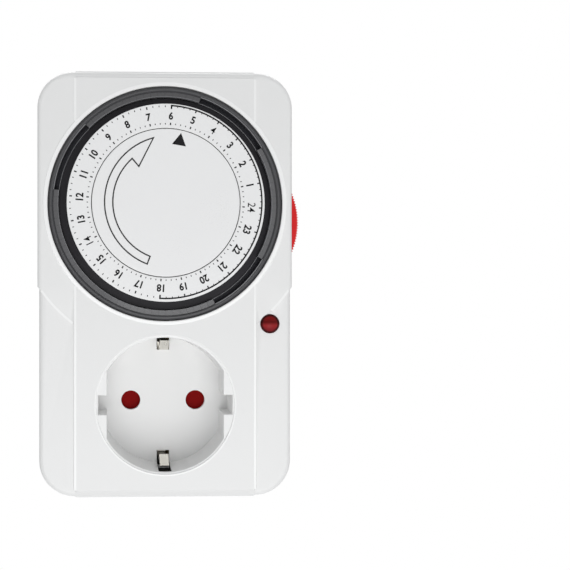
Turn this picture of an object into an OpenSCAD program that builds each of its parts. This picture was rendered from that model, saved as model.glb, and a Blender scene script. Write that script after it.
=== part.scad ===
// Plug-in timer switch: a 24 hour dial with push-in segments, over a mains outlet,
// in a flat two-part case that hangs on its own plug.
// The pieces are drawn lying on their back: X right, Y up, Z out of the front.
// stand() tips them upright, so the plug points to +Y and the dial faces -Y.

/* [Case] */
// Width of the lower case
case_w = 71.1; // [66:0.1:76]
// Case above the dial opening
top_edge = 3.95; // [3.5:0.05:6]
// Case between the dial opening and the well rim
mid_gap = 3.7; // [3.2:0.1:6]
// Case below the well rim
chin = 6.45; // [5.5:0.05:9]
// Case beside the dial opening
dial_edge = 2.05; // [1.6:0.05:3.5]
// Corner radius of the case
corner_r = 10; // [8.5:0.5:12]
// Side walls of both shells
wall = 1.9; // [1.6:0.1:2.1]
// Front wall of the housing
front_wall = 2.4; // [1.8:0.1:2.8]
// Depth of the front housing behind its lower face
housing_depth = 27; // [26.5:0.5:30]
// Depth of the rear cover
cover_depth = 12; // [11:0.5:14]
// Floor of the rear cover
cover_floor = 2; // [1.6:0.1:2.4]
// Rounding of the outer front and rear edges
edge_bevel = 1.2; // [0.6:0.1:1.6]
// How far the head is wider than the lower case, each side
head_step = 0.5; // [0.2:0.1:0.8]
// How far the face of the head stands in front of the lower face
head_rise = 0.35; // [0.2:0.05:0.6]
// Radius of the crease below the head, about the dial
head_r = 42.5; // [41:0.5:44]
// Run of the slope at that crease
head_slope = 0.5; // [0.3:0.1:0.8]
// Width of the raised middle band
band_w = 50.2; // [46:0.5:54]
// How far the middle band stands proud
band_rise = 0.35; // [0.2:0.05:0.6]
// Run of the slope at the sides of the middle band
band_slope = 0.8; // [0.4:0.1:1]
// Bevel at the ends of the middle band
band_bevel = 2; // [1:0.25:3]

/* [Plug] */
// Diameter of the plug nose
nose_d = 36.1; // [35.4:0.1:37.5]
// Length of the plug nose
nose_len = 18.5; // [18:0.5:21]
// Width over the flats of the nose
nose_flats = 32.3; // [31.5:0.1:33]
// Width over the two side ribs
rib_w = 36.5; // [35.5:0.1:37.4]
// Height of a side rib
rib_h = 4; // [3:0.25:4.8]
// Skin of the nose
nose_wall = 2.6; // [2.2:0.1:2.8]
// Step ring diameter
ring_d = 46.2; // [44:0.5:49]
// Step ring height
ring_len = 4.5; // [3.5:0.5:6]
// Back disc diameter
disc_d = 56; // [52:0.5:60]
// Back disc height
disc_len = 4; // [3:0.5:6]
// From the plug axis down to the flat of the disc
disc_flat = 25.2; // [24:0.2:27]
// Flange of the plug insert behind the cover floor
flange_w = 1.8; // [1:0.1:2.4]
// Thickness of that flange
flange_t = 1.2; // [0.8:0.1:1.4]
// Plug pin diameter
pin_d = 4.8; // [4.6:0.1:5]
// Plug pin length outside the face
pin_len = 19; // [18:0.5:20]
// From the plug face to the full shaft of a pin, past its neck
pin_root = 0.5; // [0.3:0.1:1]
// Distance between pins and between outlet holes
pin_pitch = 19; // [18.5:0.25:19.5]
// Width of an earth strip channel
earth_w = 3.7; // [3.2:0.1:4.2]

/* [Outlet] */
// Rim diameter of the outlet well
well_d = 39.4; // [39:0.1:41]
// Depth of the well behind the middle band
well_depth = 18.2; // [17:0.2:19]
// Width between the flats of the well
well_flats = 33; // [32.6:0.1:33.6]
// Height of a side notch
notch_h = 5.5; // [4.8:0.1:6.5]
// Draft of the well wall
well_draft = 0.7; // [0:0.1:1]
// Floor of the well
well_floor = 2.5; // [2:0.1:3]
// Diameter of a pin hole in the well floor
hole_d = 5.65; // [5.4:0.05:6]
// Travel of the shutter
shutter_travel = 6.5; // [6.2:0.1:6.8]

/* [Dial] */
// Running gap between the opening and the segment drum
drum_gap = 0.4; // [0.3:0.05:0.7]
// Rim of the drum outside the pockets
rim_w = 1.5; // [1.2:0.05:1.8]
// Radial depth of a pocket
pocket_w = 1.5; // [1.3:0.1:1.6]
// Tangential width of a pocket
pocket_t = 1.7; // [1.5:0.05:1.75]
// Zone between the pockets and the white number ring
zone_w = 2.4; // [2:0.1:3]
// Width of the number ring
number_w = 7; // [6:0.1:8.5]
// How far the number ring stands in front of the lower face
scale_proud = 5; // [3:0.25:6]
// Length of a segment and of the drum
drum_len = 9.2; // [8.5:0.1:10]
// Push travel of a segment
push = 2.5; // [1.5:0.1:2.8]
// Turn of the dial at rest, clockwise
dial_turn = 3.5; // [0:0.25:14.75]
// Radius of the fixed spindle
spindle_r = 3; // [2.5:0.1:3.4]

/* [Gears] */
// Module of the dial gear
dial_module = 0.8; // [0.78:0.01:0.81]
// Teeth of the dial gear
dial_teeth = 60; // [59:1:60]
// Teeth of the idler pinion
idler_small = 10; // [10:1:11]
// Module of the motor stage
motor_module = 0.5; // [0.45:0.05:0.5]
// Teeth of the idler wheel
idler_big = 30; // [26:1:30]
// Teeth of the motor pinion
motor_teeth = 8; // [8:1:10]
// Direction from the dial axis to the idler
idler_dir = 135; // [130:1:140]
// Play between meshing flanks
backlash = 0.16; // [0.1:0.01:0.2]
// Radius of the motor can
can_r = 17; // [15:0.5:17.5]
// Depth of the motor can
can_len = 10; // [9:0.2:11]

/* [Switch] */
// Radius of the red thumb rim
thumb_r = 22.9; // [22.5:0.1:23.2]
// How far the thumb rim stands out of the side
thumb_proud = 4.3; // [3.8:0.1:4.6]
// Height of the switch axis against the dial axis
thumb_y = -4.5; // [-5.5:0.25:-4]
// Thickness of the thumb rim
thumb_t = 6; // [5:0.25:6.2]
// Turn of the thumb rim from timer to always on
thumb_turn = 14; // [10:1:15]
// Lift that the cam gives the lever post
cam_rise = 0.6; // [0.4:0.05:0.65]

/* [Lamp] */
// From the case side in to the lamp
lamp_side = 5.85; // [5.3:0.05:7]
// Lamp below the dial axis
lamp_y = -34; // [-35:0.25:-33.5]
// Lens diameter
lens_d = 5.3; // [4.8:0.1:5.6]

/* [Fits] */
// Gap between fixed pieces that plug together
fit_gap = 0.1; // [0.05:0.05:0.15]
// Radial running clearance of shafts
run_gap = 0.04; // [0.02:0.01:0.08]
// Gap between moving pieces and their guides
slide_gap = 0.1; // [0.08:0.01:0.14]
// Thickness of the brass strips
strip = 0.8; // [0.6:0.1:0.9]
// Gap beside a moving piece that is not guided
clear = 0.4; // [0.3:0.05:0.5]

/* [Hidden] */
$fn = 64;
e = 0.01;
// planes, counted from the plug face to the front
z_ring = nose_len;
z_disc = z_ring + ring_len;
z_back = z_disc + disc_len;
z_part = z_back + cover_depth;
z_front = z_part + housing_depth;
z_head = z_front + head_rise;
z_band = z_head + band_rise;
z_inner = z_front - front_wall;
z_rim = z_front + 0.2;
z_web = z_rim - drum_len;
web_t = 3;
z_zone = z_rim - 3.2;
head_len = push;
z_comb = z_rim - push - head_len - slide_gap;
z_scale = z_front + scale_proud;
scale_t = 1.2;
gear_t = 2.2;
wheel_t = 1.2;
z_gear = z_web - push - 1.1 - gear_t;
z_wheel = z_gear - clear - wheel_t;
plate_t = 1.5;
z_plate = z_wheel - clear - plate_t;
z_can = z_plate - 1.1 - can_len;
z_flange = z_back + cover_floor;
z_bar = z_flange + 2;
z_earth = z_bar + strip + 1.2;
// places
opening_r = case_w / 2 - dial_edge;
drum_r = opening_r - drum_gap;
pocket_r = drum_r - rim_w;
scale_r = pocket_r - pocket_w - zone_w;
cap_r = scale_r - number_w;
outlet_drop = opening_r + mid_gap + well_d / 2;
case_h = top_edge + opening_r + outlet_drop + well_d / 2 + chin;
case_y = top_edge + opening_r - case_h / 2;
lamp_x = case_w / 2 - lamp_side;
head_w = case_w + 2 * head_step;
shell_h = case_h - 2 * band_rise;
inner_w = case_w - 2 * wall;
inner_h = shell_h - 2 * wall;
screw_x = case_w / 2 - 6.05;
screw_top = case_y + case_h / 2 - 6.45;
screw_bottom = case_y - case_h / 2 + 6.55;
boss_r = 3.5;
head_deep = 5;
post_r = 2.4;
outlet_y = -outlet_drop;
well_ears = well_d / 2 + 6.8;
pin_x = pin_pitch / 2;
strip_t = 0.6;
clip_reach = 4.6;
strip_r = nose_d / 2 - strip_t - 0.5;
z_floor = z_band - well_depth;
z_well = z_floor - well_floor;
shutter_t = 2.8;
shutter_end = 4;
spring_seat = hole_d / 2 + 0.6 + shutter_travel + 2.975;
z_guide = z_well - shutter_t - 0.7;
sleeve_r = 3.3;
clip_w = 2.6;
// gears
dial_pitch = dial_module * dial_teeth / 2;
small_pitch = dial_module * idler_small / 2;
big_pitch = motor_module * idler_big / 2;
motor_pitch = motor_module * motor_teeth / 2;
mesh_gap = 0.1;
idler_at = (dial_pitch + small_pitch + mesh_gap) * [cos(idler_dir), sin(idler_dir)];
motor_at = (dial_pitch + small_pitch - big_pitch - motor_pitch) * [cos(idler_dir), sin(idler_dir)];
axle_r = 1;
motor_ear = can_r + 3;
// posts that carry the movement plate: right top, left top beside the idler, and the two low ones
post_x = inner_w / 2 - 2.65;
post_y = lamp_y + 7;
idler_post_r = big_pitch + post_r + 1.49;
idler_post_dir = idler_dir - 31.6;
plate_posts = [[22.5, 31], idler_at + idler_post_r * [cos(idler_post_dir), sin(idler_post_dir)],
    [post_x, post_y], [-post_x, post_y]];
plate_low = post_y - post_r - 0.2;
plate_high = max(plate_posts[0][1], plate_posts[1][1]) + post_r + 0.4;
// override switch and lever
thumb_at = [case_w / 2 + head_step + thumb_proud - thumb_r, thumb_y];
z_thumb = z_plate - 0.5 - thumb_t;
thumb_half = 46;
pivot_at = [inner_w / 2 - 2.75, 15];
lever_post = [24, 12.5];
post_pin = 1.2;
hub_r = 2.3;
nose_r = pocket_r + 0.85;
nose_dir = 37;
post_dir = atan2(lever_post[1] - thumb_at[1], lever_post[0] - thumb_at[0]);
cam_r = norm(lever_post - thumb_at) - post_pin - slide_gap;
switch_box = [19, 10, 6.5];
switch_at = [9, 15];
plunger_y = lever_post[1] + post_pin + 0.15;
blade_x = [11.5, 18.5, 25.5];
blade_y = [2.5, 7.5];
bar_w = 5;
resistor_at = [lamp_x + 0.8, lamp_y - 6];
// segments: first pocket, number of segments, 1 where they are pushed in at rest
banks = [[4, 11, 1], [15, 16, 0], [31, 9, 1], [40, 33, 0], [73, 10, 1], [83, 17, 0]];
pockets = 96;
pitch_a = 360 / pockets;
white = "whitesmoke";
black = "#222226";
red = "#c02026";
brass = "#c8a24c";
steel = "silver";

// ---- shared shapes ----
module stand() rotate([90, 0, 0]) children();

module slab(z0, z1) translate([0, 0, z0]) linear_extrude(z1 - z0) children();

module disc(at, z0, z1, r) translate([at[0], at[1], z0]) cylinder(h = z1 - z0, r = r);

// both ends of a stretch, given from one place
function span(at, ends) = [at + ends[0], at + ends[1]];
module block(x, y, z) translate([x[0], y[0], z[0]]) cube([x[1] - x[0], y[1] - y[0], z[1] - z[0]]);

module tube(at, z0, z1, r_in, r_out) difference() {
    disc(at, z0, z1, r_out);
    disc(at, z0 - 1, z1 + 1, r_in);
}

// a rectangle with round corners, centred on the case
module rounded(w, h, r) translate([0, case_y]) {
    square([w - 2 * r, h], center = true);
    square([w, h - 2 * r], center = true);
    for (x = [-1, 1], y = [-1, 1]) translate([x * (w / 2 - r), y * (h / 2 - r)]) circle(r);
}

// the case outline as a block whose far edge is rounded in three steps
module bevelled(w, h, r, z0, z1, bevel) translate([0, case_y, z0]) hull()
    for (x = [-1, 1], y = [-1, 1], a = [0:30:90]) translate([x * (w / 2 - r), y * (h / 2 - r), 0])
        cylinder(h = z1 - z0 - bevel * (1 - sin(a)), r = r - bevel * (1 - cos(a)));

// a round wire along a list of points, as one closed solid
function unit(v) = v / norm(v);
function tangent(p, i) = unit(p[min(i + 1, len(p) - 1)] - p[max(i - 1, 0)]);
module wire(p, r, sides = 8) {
    side = [0.31, 0.17, 0.94];
    rings = [for (i = [0:len(p) - 1])
        let (t = tangent(p, i), u = unit(cross(t, side)), v = cross(t, u))
        for (k = [0:sides - 1]) p[i] + r * (cos(360 * k / sides) * u + sin(360 * k / sides) * v)];
    n = len(p);
    walls = [for (i = [0:n - 2], k = [0:sides - 1])
        let (a = i * sides + k, b = i * sides + (k + 1) % sides)
        each [[a, b, b + sides], [a, b + sides, a + sides]]];
    first = [for (k = [sides - 1:-1:0]) k];
    last = [for (k = [0:sides - 1]) (n - 1) * sides + k];
    polyhedron(rings, concat([first, last], walls), convexity = 8);
}

// a coil spring that stands up from y0 to y1
module coil(at, z, y0, y1, r, wire_r, turns) wire([for (i = [0:12 * turns])
    let (a = 30 * i, s = i / (12 * turns))
    [at + r * cos(a), y0 + wire_r + (y1 - y0 - 2 * wire_r) * s, z + r * sin(a)]], wire_r, 6);

// points of a smooth curve through hand-set points
function spline(p, i, t) =
    let (a = p[max(i - 1, 0)], b = p[i], c = p[i + 1], d = p[min(i + 2, len(p) - 1)])
    0.5 * (2 * b + (c - a) * t + (2 * a - 5 * b + 4 * c - d) * t * t + (3 * b - a - 3 * c + d) * t * t * t);
function smooth(p, n) =
    concat([for (i = [0:len(p) - 2], k = [0:n - 1]) spline(p, i, k / n)], [p[len(p) - 1]]);

// an involute spur gear outline with its first tooth at +X
function inv(a) = tan(a) * 180 / PI - a;
function flank(teeth, m, r) =
    let (rb = teeth * m / 2 * cos(20), a = r > rb ? acos(rb / r) : 0)
    90 / teeth - backlash / 2 / (teeth * m) * 180 / PI + inv(20) - inv(a);
module gear2d(teeth, m, top, root) {
    rp = teeth * m / 2;
    rr = [rp - root, rp - 0.45 * root, rp, rp + 0.55 * top, rp + top];
    polygon([for (i = [0:teeth - 1], k = [0:9])
        let (j = k < 5 ? k : 9 - k, a = 360 / teeth * i + (k < 5 ? -1 : 1) * flank(teeth, m, rr[j]))
        rr[j] * [cos(a), sin(a)]]);
}

// ---- case ----
module head2d(r) intersection() {
    rounded(head_w, shell_h, corner_r);
    union() {
        circle(r);
        translate([-case_w, -sqrt(pow(r, 2) - pow(head_w / 2, 2))]) square(2 * case_w);
    }
}

// the head, with a slope down to the lower face
module head_block() hull() {
    slab(z_part, z_front) head2d(head_r + head_slope);
    slab(z_part, z_head) head2d(head_r);
}

// one bar of the middle band, bevelled at its ends
module band_bar(w, half, z0, z1)
    translate([-w / 2, case_y, 0]) rotate([90, 0, 90]) linear_extrude(w)
        polygon([[-half, z0], [half, z0], [half, z1 - band_bevel], [half - band_bevel, z1],
            [band_bevel - half, z1], [-half, z1 - band_bevel]]);

// the band slopes down to the faces beside it
module band_block() hull() {
    band_bar(band_w, case_h / 2, z_part, z_band);
    band_bar(band_w + 2 * band_slope, shell_h / 2, z_part, z_front);
}

module case_bosses(z0, z1, r)
    for (x = [-screw_x, screw_x], y = [screw_bottom, screw_top]) disc([x, y], z0, z1, r);

module earth_slot(r0, r1)
    for (y = [r0, -r1]) translate([-earth_w / 2, y]) square([earth_w, r1 - r0]);

// Front shell: the face, its raised head and band, and the bosses behind it
module front_housing() color(white) stand() difference() {
    union() {
        difference() {
            union() {
                bevelled(case_w, shell_h, corner_r, z_part, z_front, edge_bevel);
                intersection() {
                    head_block();
                    bevelled(head_w, shell_h, corner_r, z_part, z_head, edge_bevel);
                }
                band_block();
            }
            slab(z_part - 1, z_inner) rounded(inner_w, inner_h, corner_r - wall);
        }
        intersection() {
            case_bosses(z_part, z_inner + e, boss_r);
            slab(z_part, z_front) rounded(case_w - wall, case_h - wall, corner_r);
        }
        for (p = plate_posts) disc(p, z_plate + plate_t, z_inner + e, post_r);
        for (x = [-well_ears, well_ears]) disc([x, outlet_y], z_inner - 6, z_inner + e, post_r);
    }
    disc([0, 0], z_part, z_band + 1, opening_r);
    translate([0, 0, z_band - 0.8]) cylinder(h = 0.8 + e, r1 = opening_r, r2 = opening_r + 0.8);
    disc([0, outlet_y], z_part, z_band + 1, well_d / 2 + fit_gap);
    disc([lamp_x, lamp_y], z_part, z_band + 1, lens_d / 2 + fit_gap);
    case_bosses(z_part - 1, z_part + 12, 1.5);
    for (p = plate_posts) disc(p, z_plate, z_plate + plate_t + 7, 1);
    for (x = [-well_ears, well_ears]) disc([x, outlet_y], z_inner - 7, z_inner - 0.5, 1);
    thumb_window();
}

// half length of the side slot, from the thumb rim and the plane of the case side
function thumb_slot() = sqrt(pow(thumb_r, 2) - pow(thumb_r - thumb_proud - head_step - wall, 2)) + 0.1;

// the slot in the case side that the thumb rim stands out of
module thumb_window() block([inner_w / 2 - 1, case_w], span(thumb_y, thumb_slot() * [-1, 1]),
    [z_thumb - clear, z_thumb + thumb_t + clear / 2]);

// Outlet insert: the round well with its flats, notches, pin holes and earth slots
module socket_well() color(white) stand() translate([0, outlet_y, 0]) difference() {
    union() {
        disc([0, 0], z_well, z_front + 0.3, well_d / 2);
        disc([0, 0], z_well, z_inner, well_d / 2 + 1.6);
        block([-well_ears, well_ears], [-post_r, post_r], [z_inner - 8, z_inner - 6]);
        for (x = [-well_ears, well_ears]) disc([x, 0], z_inner - 8, z_inner - 6, post_r);
    }
    intersection() {
        translate([0, 0, z_floor])
            cylinder(h = well_depth + 1, r1 = well_d / 2 - 0.6 - well_draft, r2 = well_d / 2 - 0.6);
        translate([-well_flats / 2, -well_d / 2, z_floor]) cube([well_flats, well_d, well_depth + 1]);
    }
    block((well_d / 2 - 0.7) * [-1, 1], notch_h / 2 * [-1, 1], [z_floor, z_band]);
    for (x = [-pin_x, pin_x]) disc([x, 0], z_well - 1, z_floor + 1, hole_d / 2);
    slab(z_well - 1, z_floor + 1) earth_slot(well_d / 2 - clip_reach - 0.3, well_d / 2 - 0.4);
    slab(z_floor, z_front - 1) earth_slot(well_d / 2 - 3, well_d / 2 + 0.4);
    for (x = [-well_ears, well_ears]) disc([x, 0], z_well, z_inner, 1.2);
}

module nose2d(r, flats) intersection() {
    circle(r);
    square([flats, 2 * r], center = true);
}

// the disc of the plug insert, grown by a margin
module insert2d(extra) intersection() {
    circle(disc_d / 2 + extra);
    translate([-disc_d, -disc_flat - extra]) square(2 * disc_d);
}

// Rear shell: a tray with an opening for the plug insert
module rear_cover() color("#e6e6e4") stand() difference() {
    union() {
        difference() {
            translate([0, 2 * case_y, z_back + z_part]) rotate([180, 0, 0])
                bevelled(case_w, shell_h, corner_r, z_back, z_part, edge_bevel);
            slab(z_back + cover_floor, z_part + 1) rounded(inner_w, inner_h, corner_r - wall);
        }
        intersection() {
            case_bosses(z_back, z_part, boss_r);
            slab(z_back + e, z_part) rounded(case_w - wall, case_h - wall, corner_r);
        }
    }
    slab(z_back - 1, z_part) insert2d(fit_gap);
    thumb_window();
    case_bosses(z_back - 1, z_part + 1, 1.7);
    case_bosses(z_back - 1, z_back + head_deep, 3);
}

// Plug insert: flange inside the cover, stepped round disc and the hollow plug nose
module plug_insert() color("#e6e6e4") stand() difference() {
    union() {
        slab(z_flange, z_flange + flange_t) insert2d(flange_w);
        slab(z_disc, z_flange + e) insert2d(0);
        slab(z_ring, z_back) circle(ring_d / 2);
        slab(0, z_disc) {
            nose2d(nose_d / 2, nose_flats);
            square([rib_w, rib_h], center = true);
        }
    }
    slab(nose_wall, z_part) nose2d(nose_d / 2 - nose_wall, nose_flats - 2 * nose_wall);
    for (x = [-pin_x, pin_x]) disc([x, 0], -1, nose_wall + 1, pin_d / 2 + fit_gap / 2);
    slab(-1, nose_wall + 2.4) earth_slot(strip_r - 2.6, strip_r - 1.3);
    slab(-1, strip_t + 0.2) earth_slot(strip_r - 1.4, nose_d / 2 + 1);
    slab(-1, z_ring) earth_slot(strip_r - fit_gap, nose_d / 2 + 1);
    slab(0, z_part) earth_slot(strip_r - fit_gap, strip_r + strip_t + fit_gap);
}

// Four self-cutting screws from the back
module case_screws() color(steel) stand() difference() {
    union() {
        case_bosses(z_back + head_deep - 1.6, z_back + head_deep, 2.8);
        case_bosses(z_back + head_deep - e, z_part + 10, 1.48);
    }
    for (x = [-screw_x, screw_x], y = [screw_bottom, screw_top])
        translate([x, y, z_back + head_deep - 1.1])
            for (a = [0, 90]) rotate(a) cube([3.4, 0.7, 1.2], center = true);
}

// ---- movement ----
function motor_ears() = [for (a = [idler_dir - 90, idler_dir + 90]) motor_at + motor_ear * [cos(a), sin(a)]];

// Plate that carries the dial, the gears, the motor and the switch
module movement_plate() color(black) stand() difference() {
    slab(z_plate, z_plate + plate_t) difference() {
        translate([clear - inner_w / 2, plate_low]) square([inner_w - 2 * clear, plate_high - plate_low]);
        for (x = [-screw_x, screw_x]) translate([x, screw_top]) {
            circle(boss_r + clear);
            translate([x > 0 ? 0 : -9, -boss_r - clear]) square([9, 12]);
            translate([-boss_r - clear, 0]) square([2 * boss_r + 2 * clear, 9]);
        }
    }
    disc([0, 0], z_plate - 1, z_plate + 4, spindle_r - 0.8);
    disc(idler_at, z_plate - 1, z_plate + 4, axle_r);
    disc(motor_at, z_plate - 1, z_plate + 4, motor_pitch + 1.2);
    disc(pivot_at, z_plate - 1, z_plate + 4, axle_r);
    disc(thumb_at, z_plate - 1, z_plate + 4, 1);
    disc(lever_post, z_plate - 1, z_plate + 4, post_pin + 1.3);
    for (p = plate_posts) disc(p, z_plate - 1, z_plate + 4, 1.2);
    for (p = motor_ears()) disc(p, z_plate - 1, z_plate + 4, 1);
}

// One small pan-head screw that points to the front
module small_screw(p, z_seat, len, core = 0.98) {
    difference() {
        disc(p, z_seat - 1.3, z_seat, 2);
        translate([p[0], p[1], z_seat - 1.2]) cube([2.6, 0.5, 1], center = true);
    }
    disc(p, z_seat - e, z_seat + len, core);
}

// Eight equal screws: plate, motor and outlet insert
module plate_screws() color(steel) stand() {
    for (p = plate_posts) small_screw(p, z_plate, 7);
    for (p = motor_ears()) small_screw(p, z_plate - 1.1, 2.4);
    for (x = [-well_ears, well_ears]) small_screw([x, outlet_y], z_inner - 8, 7);
}

// Fixed post that the dial turns on, riveted into the plate
module dial_spindle() color(steel) stand() {
    disc([0, 0], z_plate, z_plate + plate_t + e, spindle_r - 0.8);
    disc([0, 0], z_plate + plate_t, z_rim - 0.1, spindle_r);
    disc([0, 0], z_rim - 0.2, z_scale - scale_t - 0.2, spindle_r - 0.9);
}

module friction_washer() color(steel) stand()
    tube([0, 0], z_plate + plate_t, z_plate + plate_t + 0.5, spindle_r + run_gap, spindle_r + 2.4);

module dial_clip() color(steel) stand() difference() {
    tube([0, 0], z_rim - 0.1, z_rim + 0.5, spindle_r - 0.9, spindle_r + 1.2);
    block([0, 9], [-1.1, 1.1], [z_rim - 1, z_rim + 1]);
}

// Still disc in the middle of the dial, pressed on the spindle
module centre_cap() color(white) stand() difference() {
    union() {
        disc([0, 0], z_scale - scale_t, z_scale, cap_r);
        disc([0, 0], z_rim + 0.7, z_scale - scale_t + e, spindle_r + 1.6);
    }
    disc([0, 0], z_rim, z_scale - scale_t - 0.1, spindle_r - 0.9);
}

function pocket_dir(i) = 90 - dial_turn - pitch_a * (i + 0.5);

// Turning drum: hub, gear, web, rim, and the comb of 96 open pockets behind the segment heads
module dial_carrier() color(black) stand() difference() {
    union() {
        tube([0, 0], z_plate + plate_t + 0.7, z_rim - 0.2, spindle_r + run_gap, spindle_r + 3);
        rotate(dial_turn) slab(z_gear, z_gear + gear_t) difference() {
            gear2d(dial_teeth, dial_module, 0.6, 0.95);
            circle(spindle_r + 1.5);
        }
        tube([0, 0], z_web, z_web + web_t, spindle_r + 1.5, scale_r + 1);
        tube([0, 0], z_web, z_zone, scale_r + 0.1, pocket_r - pocket_w);
        tube([0, 0], z_web, z_comb, pocket_r - pocket_w - 0.5, pocket_r + 0.5);
        tube([0, 0], z_web, z_rim, pocket_r + 0.05, drum_r);
        tube([0, 0], z_web, z_scale - scale_t, cap_r + 2.5, scale_r - 1.5);
    }
    for (i = [0:pockets - 1]) rotate(pocket_dir(i))
        block([pocket_r - pocket_w - 0.1, pocket_r], pocket_t / 2 * [-1, 1], [z_web - 1, z_comb + 0.5]);
}

// White ring that carries the hours, snapped on the drum
module dial_scale() color(white) stand() {
    tube([0, 0], z_scale - scale_t, z_scale, cap_r + 0.2, scale_r);
    tube([0, 0], z_zone + fit_gap, z_scale, scale_r - 1.5 + fit_gap, scale_r);
}

// A run of push-in segments; each is a blade in its pocket, with a wedge head that nearly meets
// the heads beside it
module segment_bank(bank) color("#3c3c42") stand() {
    r0 = pocket_r - pocket_w + slide_gap;
    r1 = pocket_r - slide_gap;
    h0 = r0 * sin(pitch_a / 2) - slide_gap / 2;
    h1 = r1 * sin(pitch_a / 2) - slide_gap / 2;
    drop = banks[bank][2] * push;
    for (i = [0:banks[bank][1] - 1]) rotate(pocket_dir(banks[bank][0] + i)) {
        translate([0, pocket_t / 2 - slide_gap, -drop]) rotate([90, 0, 0])
            linear_extrude(pocket_t - 2 * slide_gap)
                polygon([[r0, z_web + 0.3], [r0 + 0.4, z_web], [r1, z_web], [r1, z_rim - e], [r0, z_rim - e]]);
        slab(z_rim - head_len - drop, z_rim - drop) polygon([[r0, -h0], [r1, -h1], [r1, h1], [r0, h0]]);
    }
}

// ---- motor and gears ----
// Mounting lid of the motor, with two ears
module motor_lid() color(steel) stand() difference() {
    union() {
        disc(motor_at, z_plate - 1.1, z_plate, can_r);
        for (p = motor_ears()) disc(p, z_plate - 1.1, z_plate, 2.6);
        translate([motor_at[0], motor_at[1], z_plate - 1.1]) rotate(idler_dir + 90)
            translate([-motor_ear, -2.6, 0]) cube([2 * motor_ear, 5.2, 1.1]);
    }
    disc(motor_at, z_plate - 2, z_plate + 1, axle_r + run_gap);
    for (p = motor_ears()) disc(p, z_plate - 2, z_plate + 1, 1.05);
}

// Drawn steel cup of the motor
module motor_can() color("#b9b9b4") stand() difference() {
    disc(motor_at, z_can, z_plate - 1.1, can_r);
    disc(motor_at, z_can + 0.8, z_plate, can_r - 0.8);
    disc(motor_at, z_can - 1, z_can + 1, axle_r + run_gap);
}

module motor_coil() color("#a3572a") stand()
    tube(motor_at, z_can + 0.8, z_plate - 2.4, can_r / 2 + 0.2, can_r - 0.8);

module motor_rotor() color("#55565a") stand() {
    disc(motor_at, z_can + 0.1, z_gear - 0.2, axle_r);
    disc(motor_at, z_can + 2.4, z_plate - 2.5, can_r / 2 - 1.4);
}

module motor_pinion() color(brass) stand() translate([motor_at[0], motor_at[1], 0])
    slab(z_wheel - 0.1, z_gear - 0.2) difference() {
        rotate(idler_dir + 180 / motor_teeth) gear2d(motor_teeth, motor_module, 0.42, 0.6);
        circle(axle_r);
    }

// Wheel and pinion moulded as one piece
module idler_gear() color("#d9d4c4") stand() translate([idler_at[0], idler_at[1], 0]) difference() {
    union() {
        slab(z_wheel, z_wheel + wheel_t) rotate(idler_dir + 180) gear2d(idler_big, motor_module, 0.38, 0.62);
        slab(z_wheel, z_gear + gear_t + 0.2) rotate(small_phase())
            gear2d(idler_small, dial_module, 0.75, 0.85);
    }
    disc([0, 0], z_wheel - 1, z_gear + 9, axle_r + run_gap);
}

// turn that sets a pinion gap against a dial tooth, seen along the line of centres
function small_phase() =
    idler_dir + 180 + 180 / idler_small + (idler_dir - dial_turn) * dial_teeth / idler_small;

module idler_axle() color(steel) stand() {
    disc(idler_at, z_plate, z_gear + gear_t + 0.5, axle_r);
    disc(idler_at, z_gear + gear_t + 0.4, z_gear + gear_t + 0.8, axle_r + 0.6);
}

// ---- override switch, lever and microswitch ----
function polar(r, a) = r * [cos(a), sin(a)];

// Red thumb rocker: knurled rim, web, hub and the cam that lifts the lever post
module side_switch() color(red) stand() translate([thumb_at[0], thumb_at[1], 0]) difference() {
    union() {
        disc([0, 0], z_thumb, z_thumb + thumb_t, 3.2);
        slab(z_thumb, z_thumb + thumb_t) polygon(concat(
            [for (a = [-thumb_half:thumb_half]) polar(thumb_r - (a % 2 == 0 ? 0 : 0.45), a)],
            [for (a = [thumb_half:-4:-thumb_half]) polar(thumb_r - 2.5, a)]));
        slab(z_thumb + 1.8, z_thumb + thumb_t - 1.6) polygon(concat([[0, 0]],
            [for (a = [-thumb_half:4:thumb_half]) polar(thumb_r - 1.2, a)]));
        slab(z_thumb + 1, z_thumb + thumb_t - 1) polygon(concat([[0, 0]],
            [for (a = [post_dir - 12:post_dir + 2 * thumb_turn])
                polar(cam_r + cam_rise * min(1, max(0, (a - post_dir) / thumb_turn)), a)]));
    }
    disc([0, 0], z_thumb - 1, z_thumb + thumb_t + 1, 1.5 + run_gap);
}

module switch_pivot() color(steel) stand() {
    disc(thumb_at, z_thumb - 0.3, z_plate, 1.5);
    disc(thumb_at, z_plate - e, z_plate + plate_t, 1);
    disc(thumb_at, z_thumb - 1, z_thumb - 0.3 + e, 2.6);
}

// Leaf that holds the thumb rocker by its hub
module switch_detent() color(steel) stand() translate([thumb_at[0], thumb_at[1], 0]) {
    block([-8, 1], [-3.75, -3.35], [z_thumb + 1, z_thumb + thumb_t - 1]);
    block([-9.5, -8 + e], [-4.8, -2.6], [z_thumb + 1, z_plate]);
}

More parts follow.
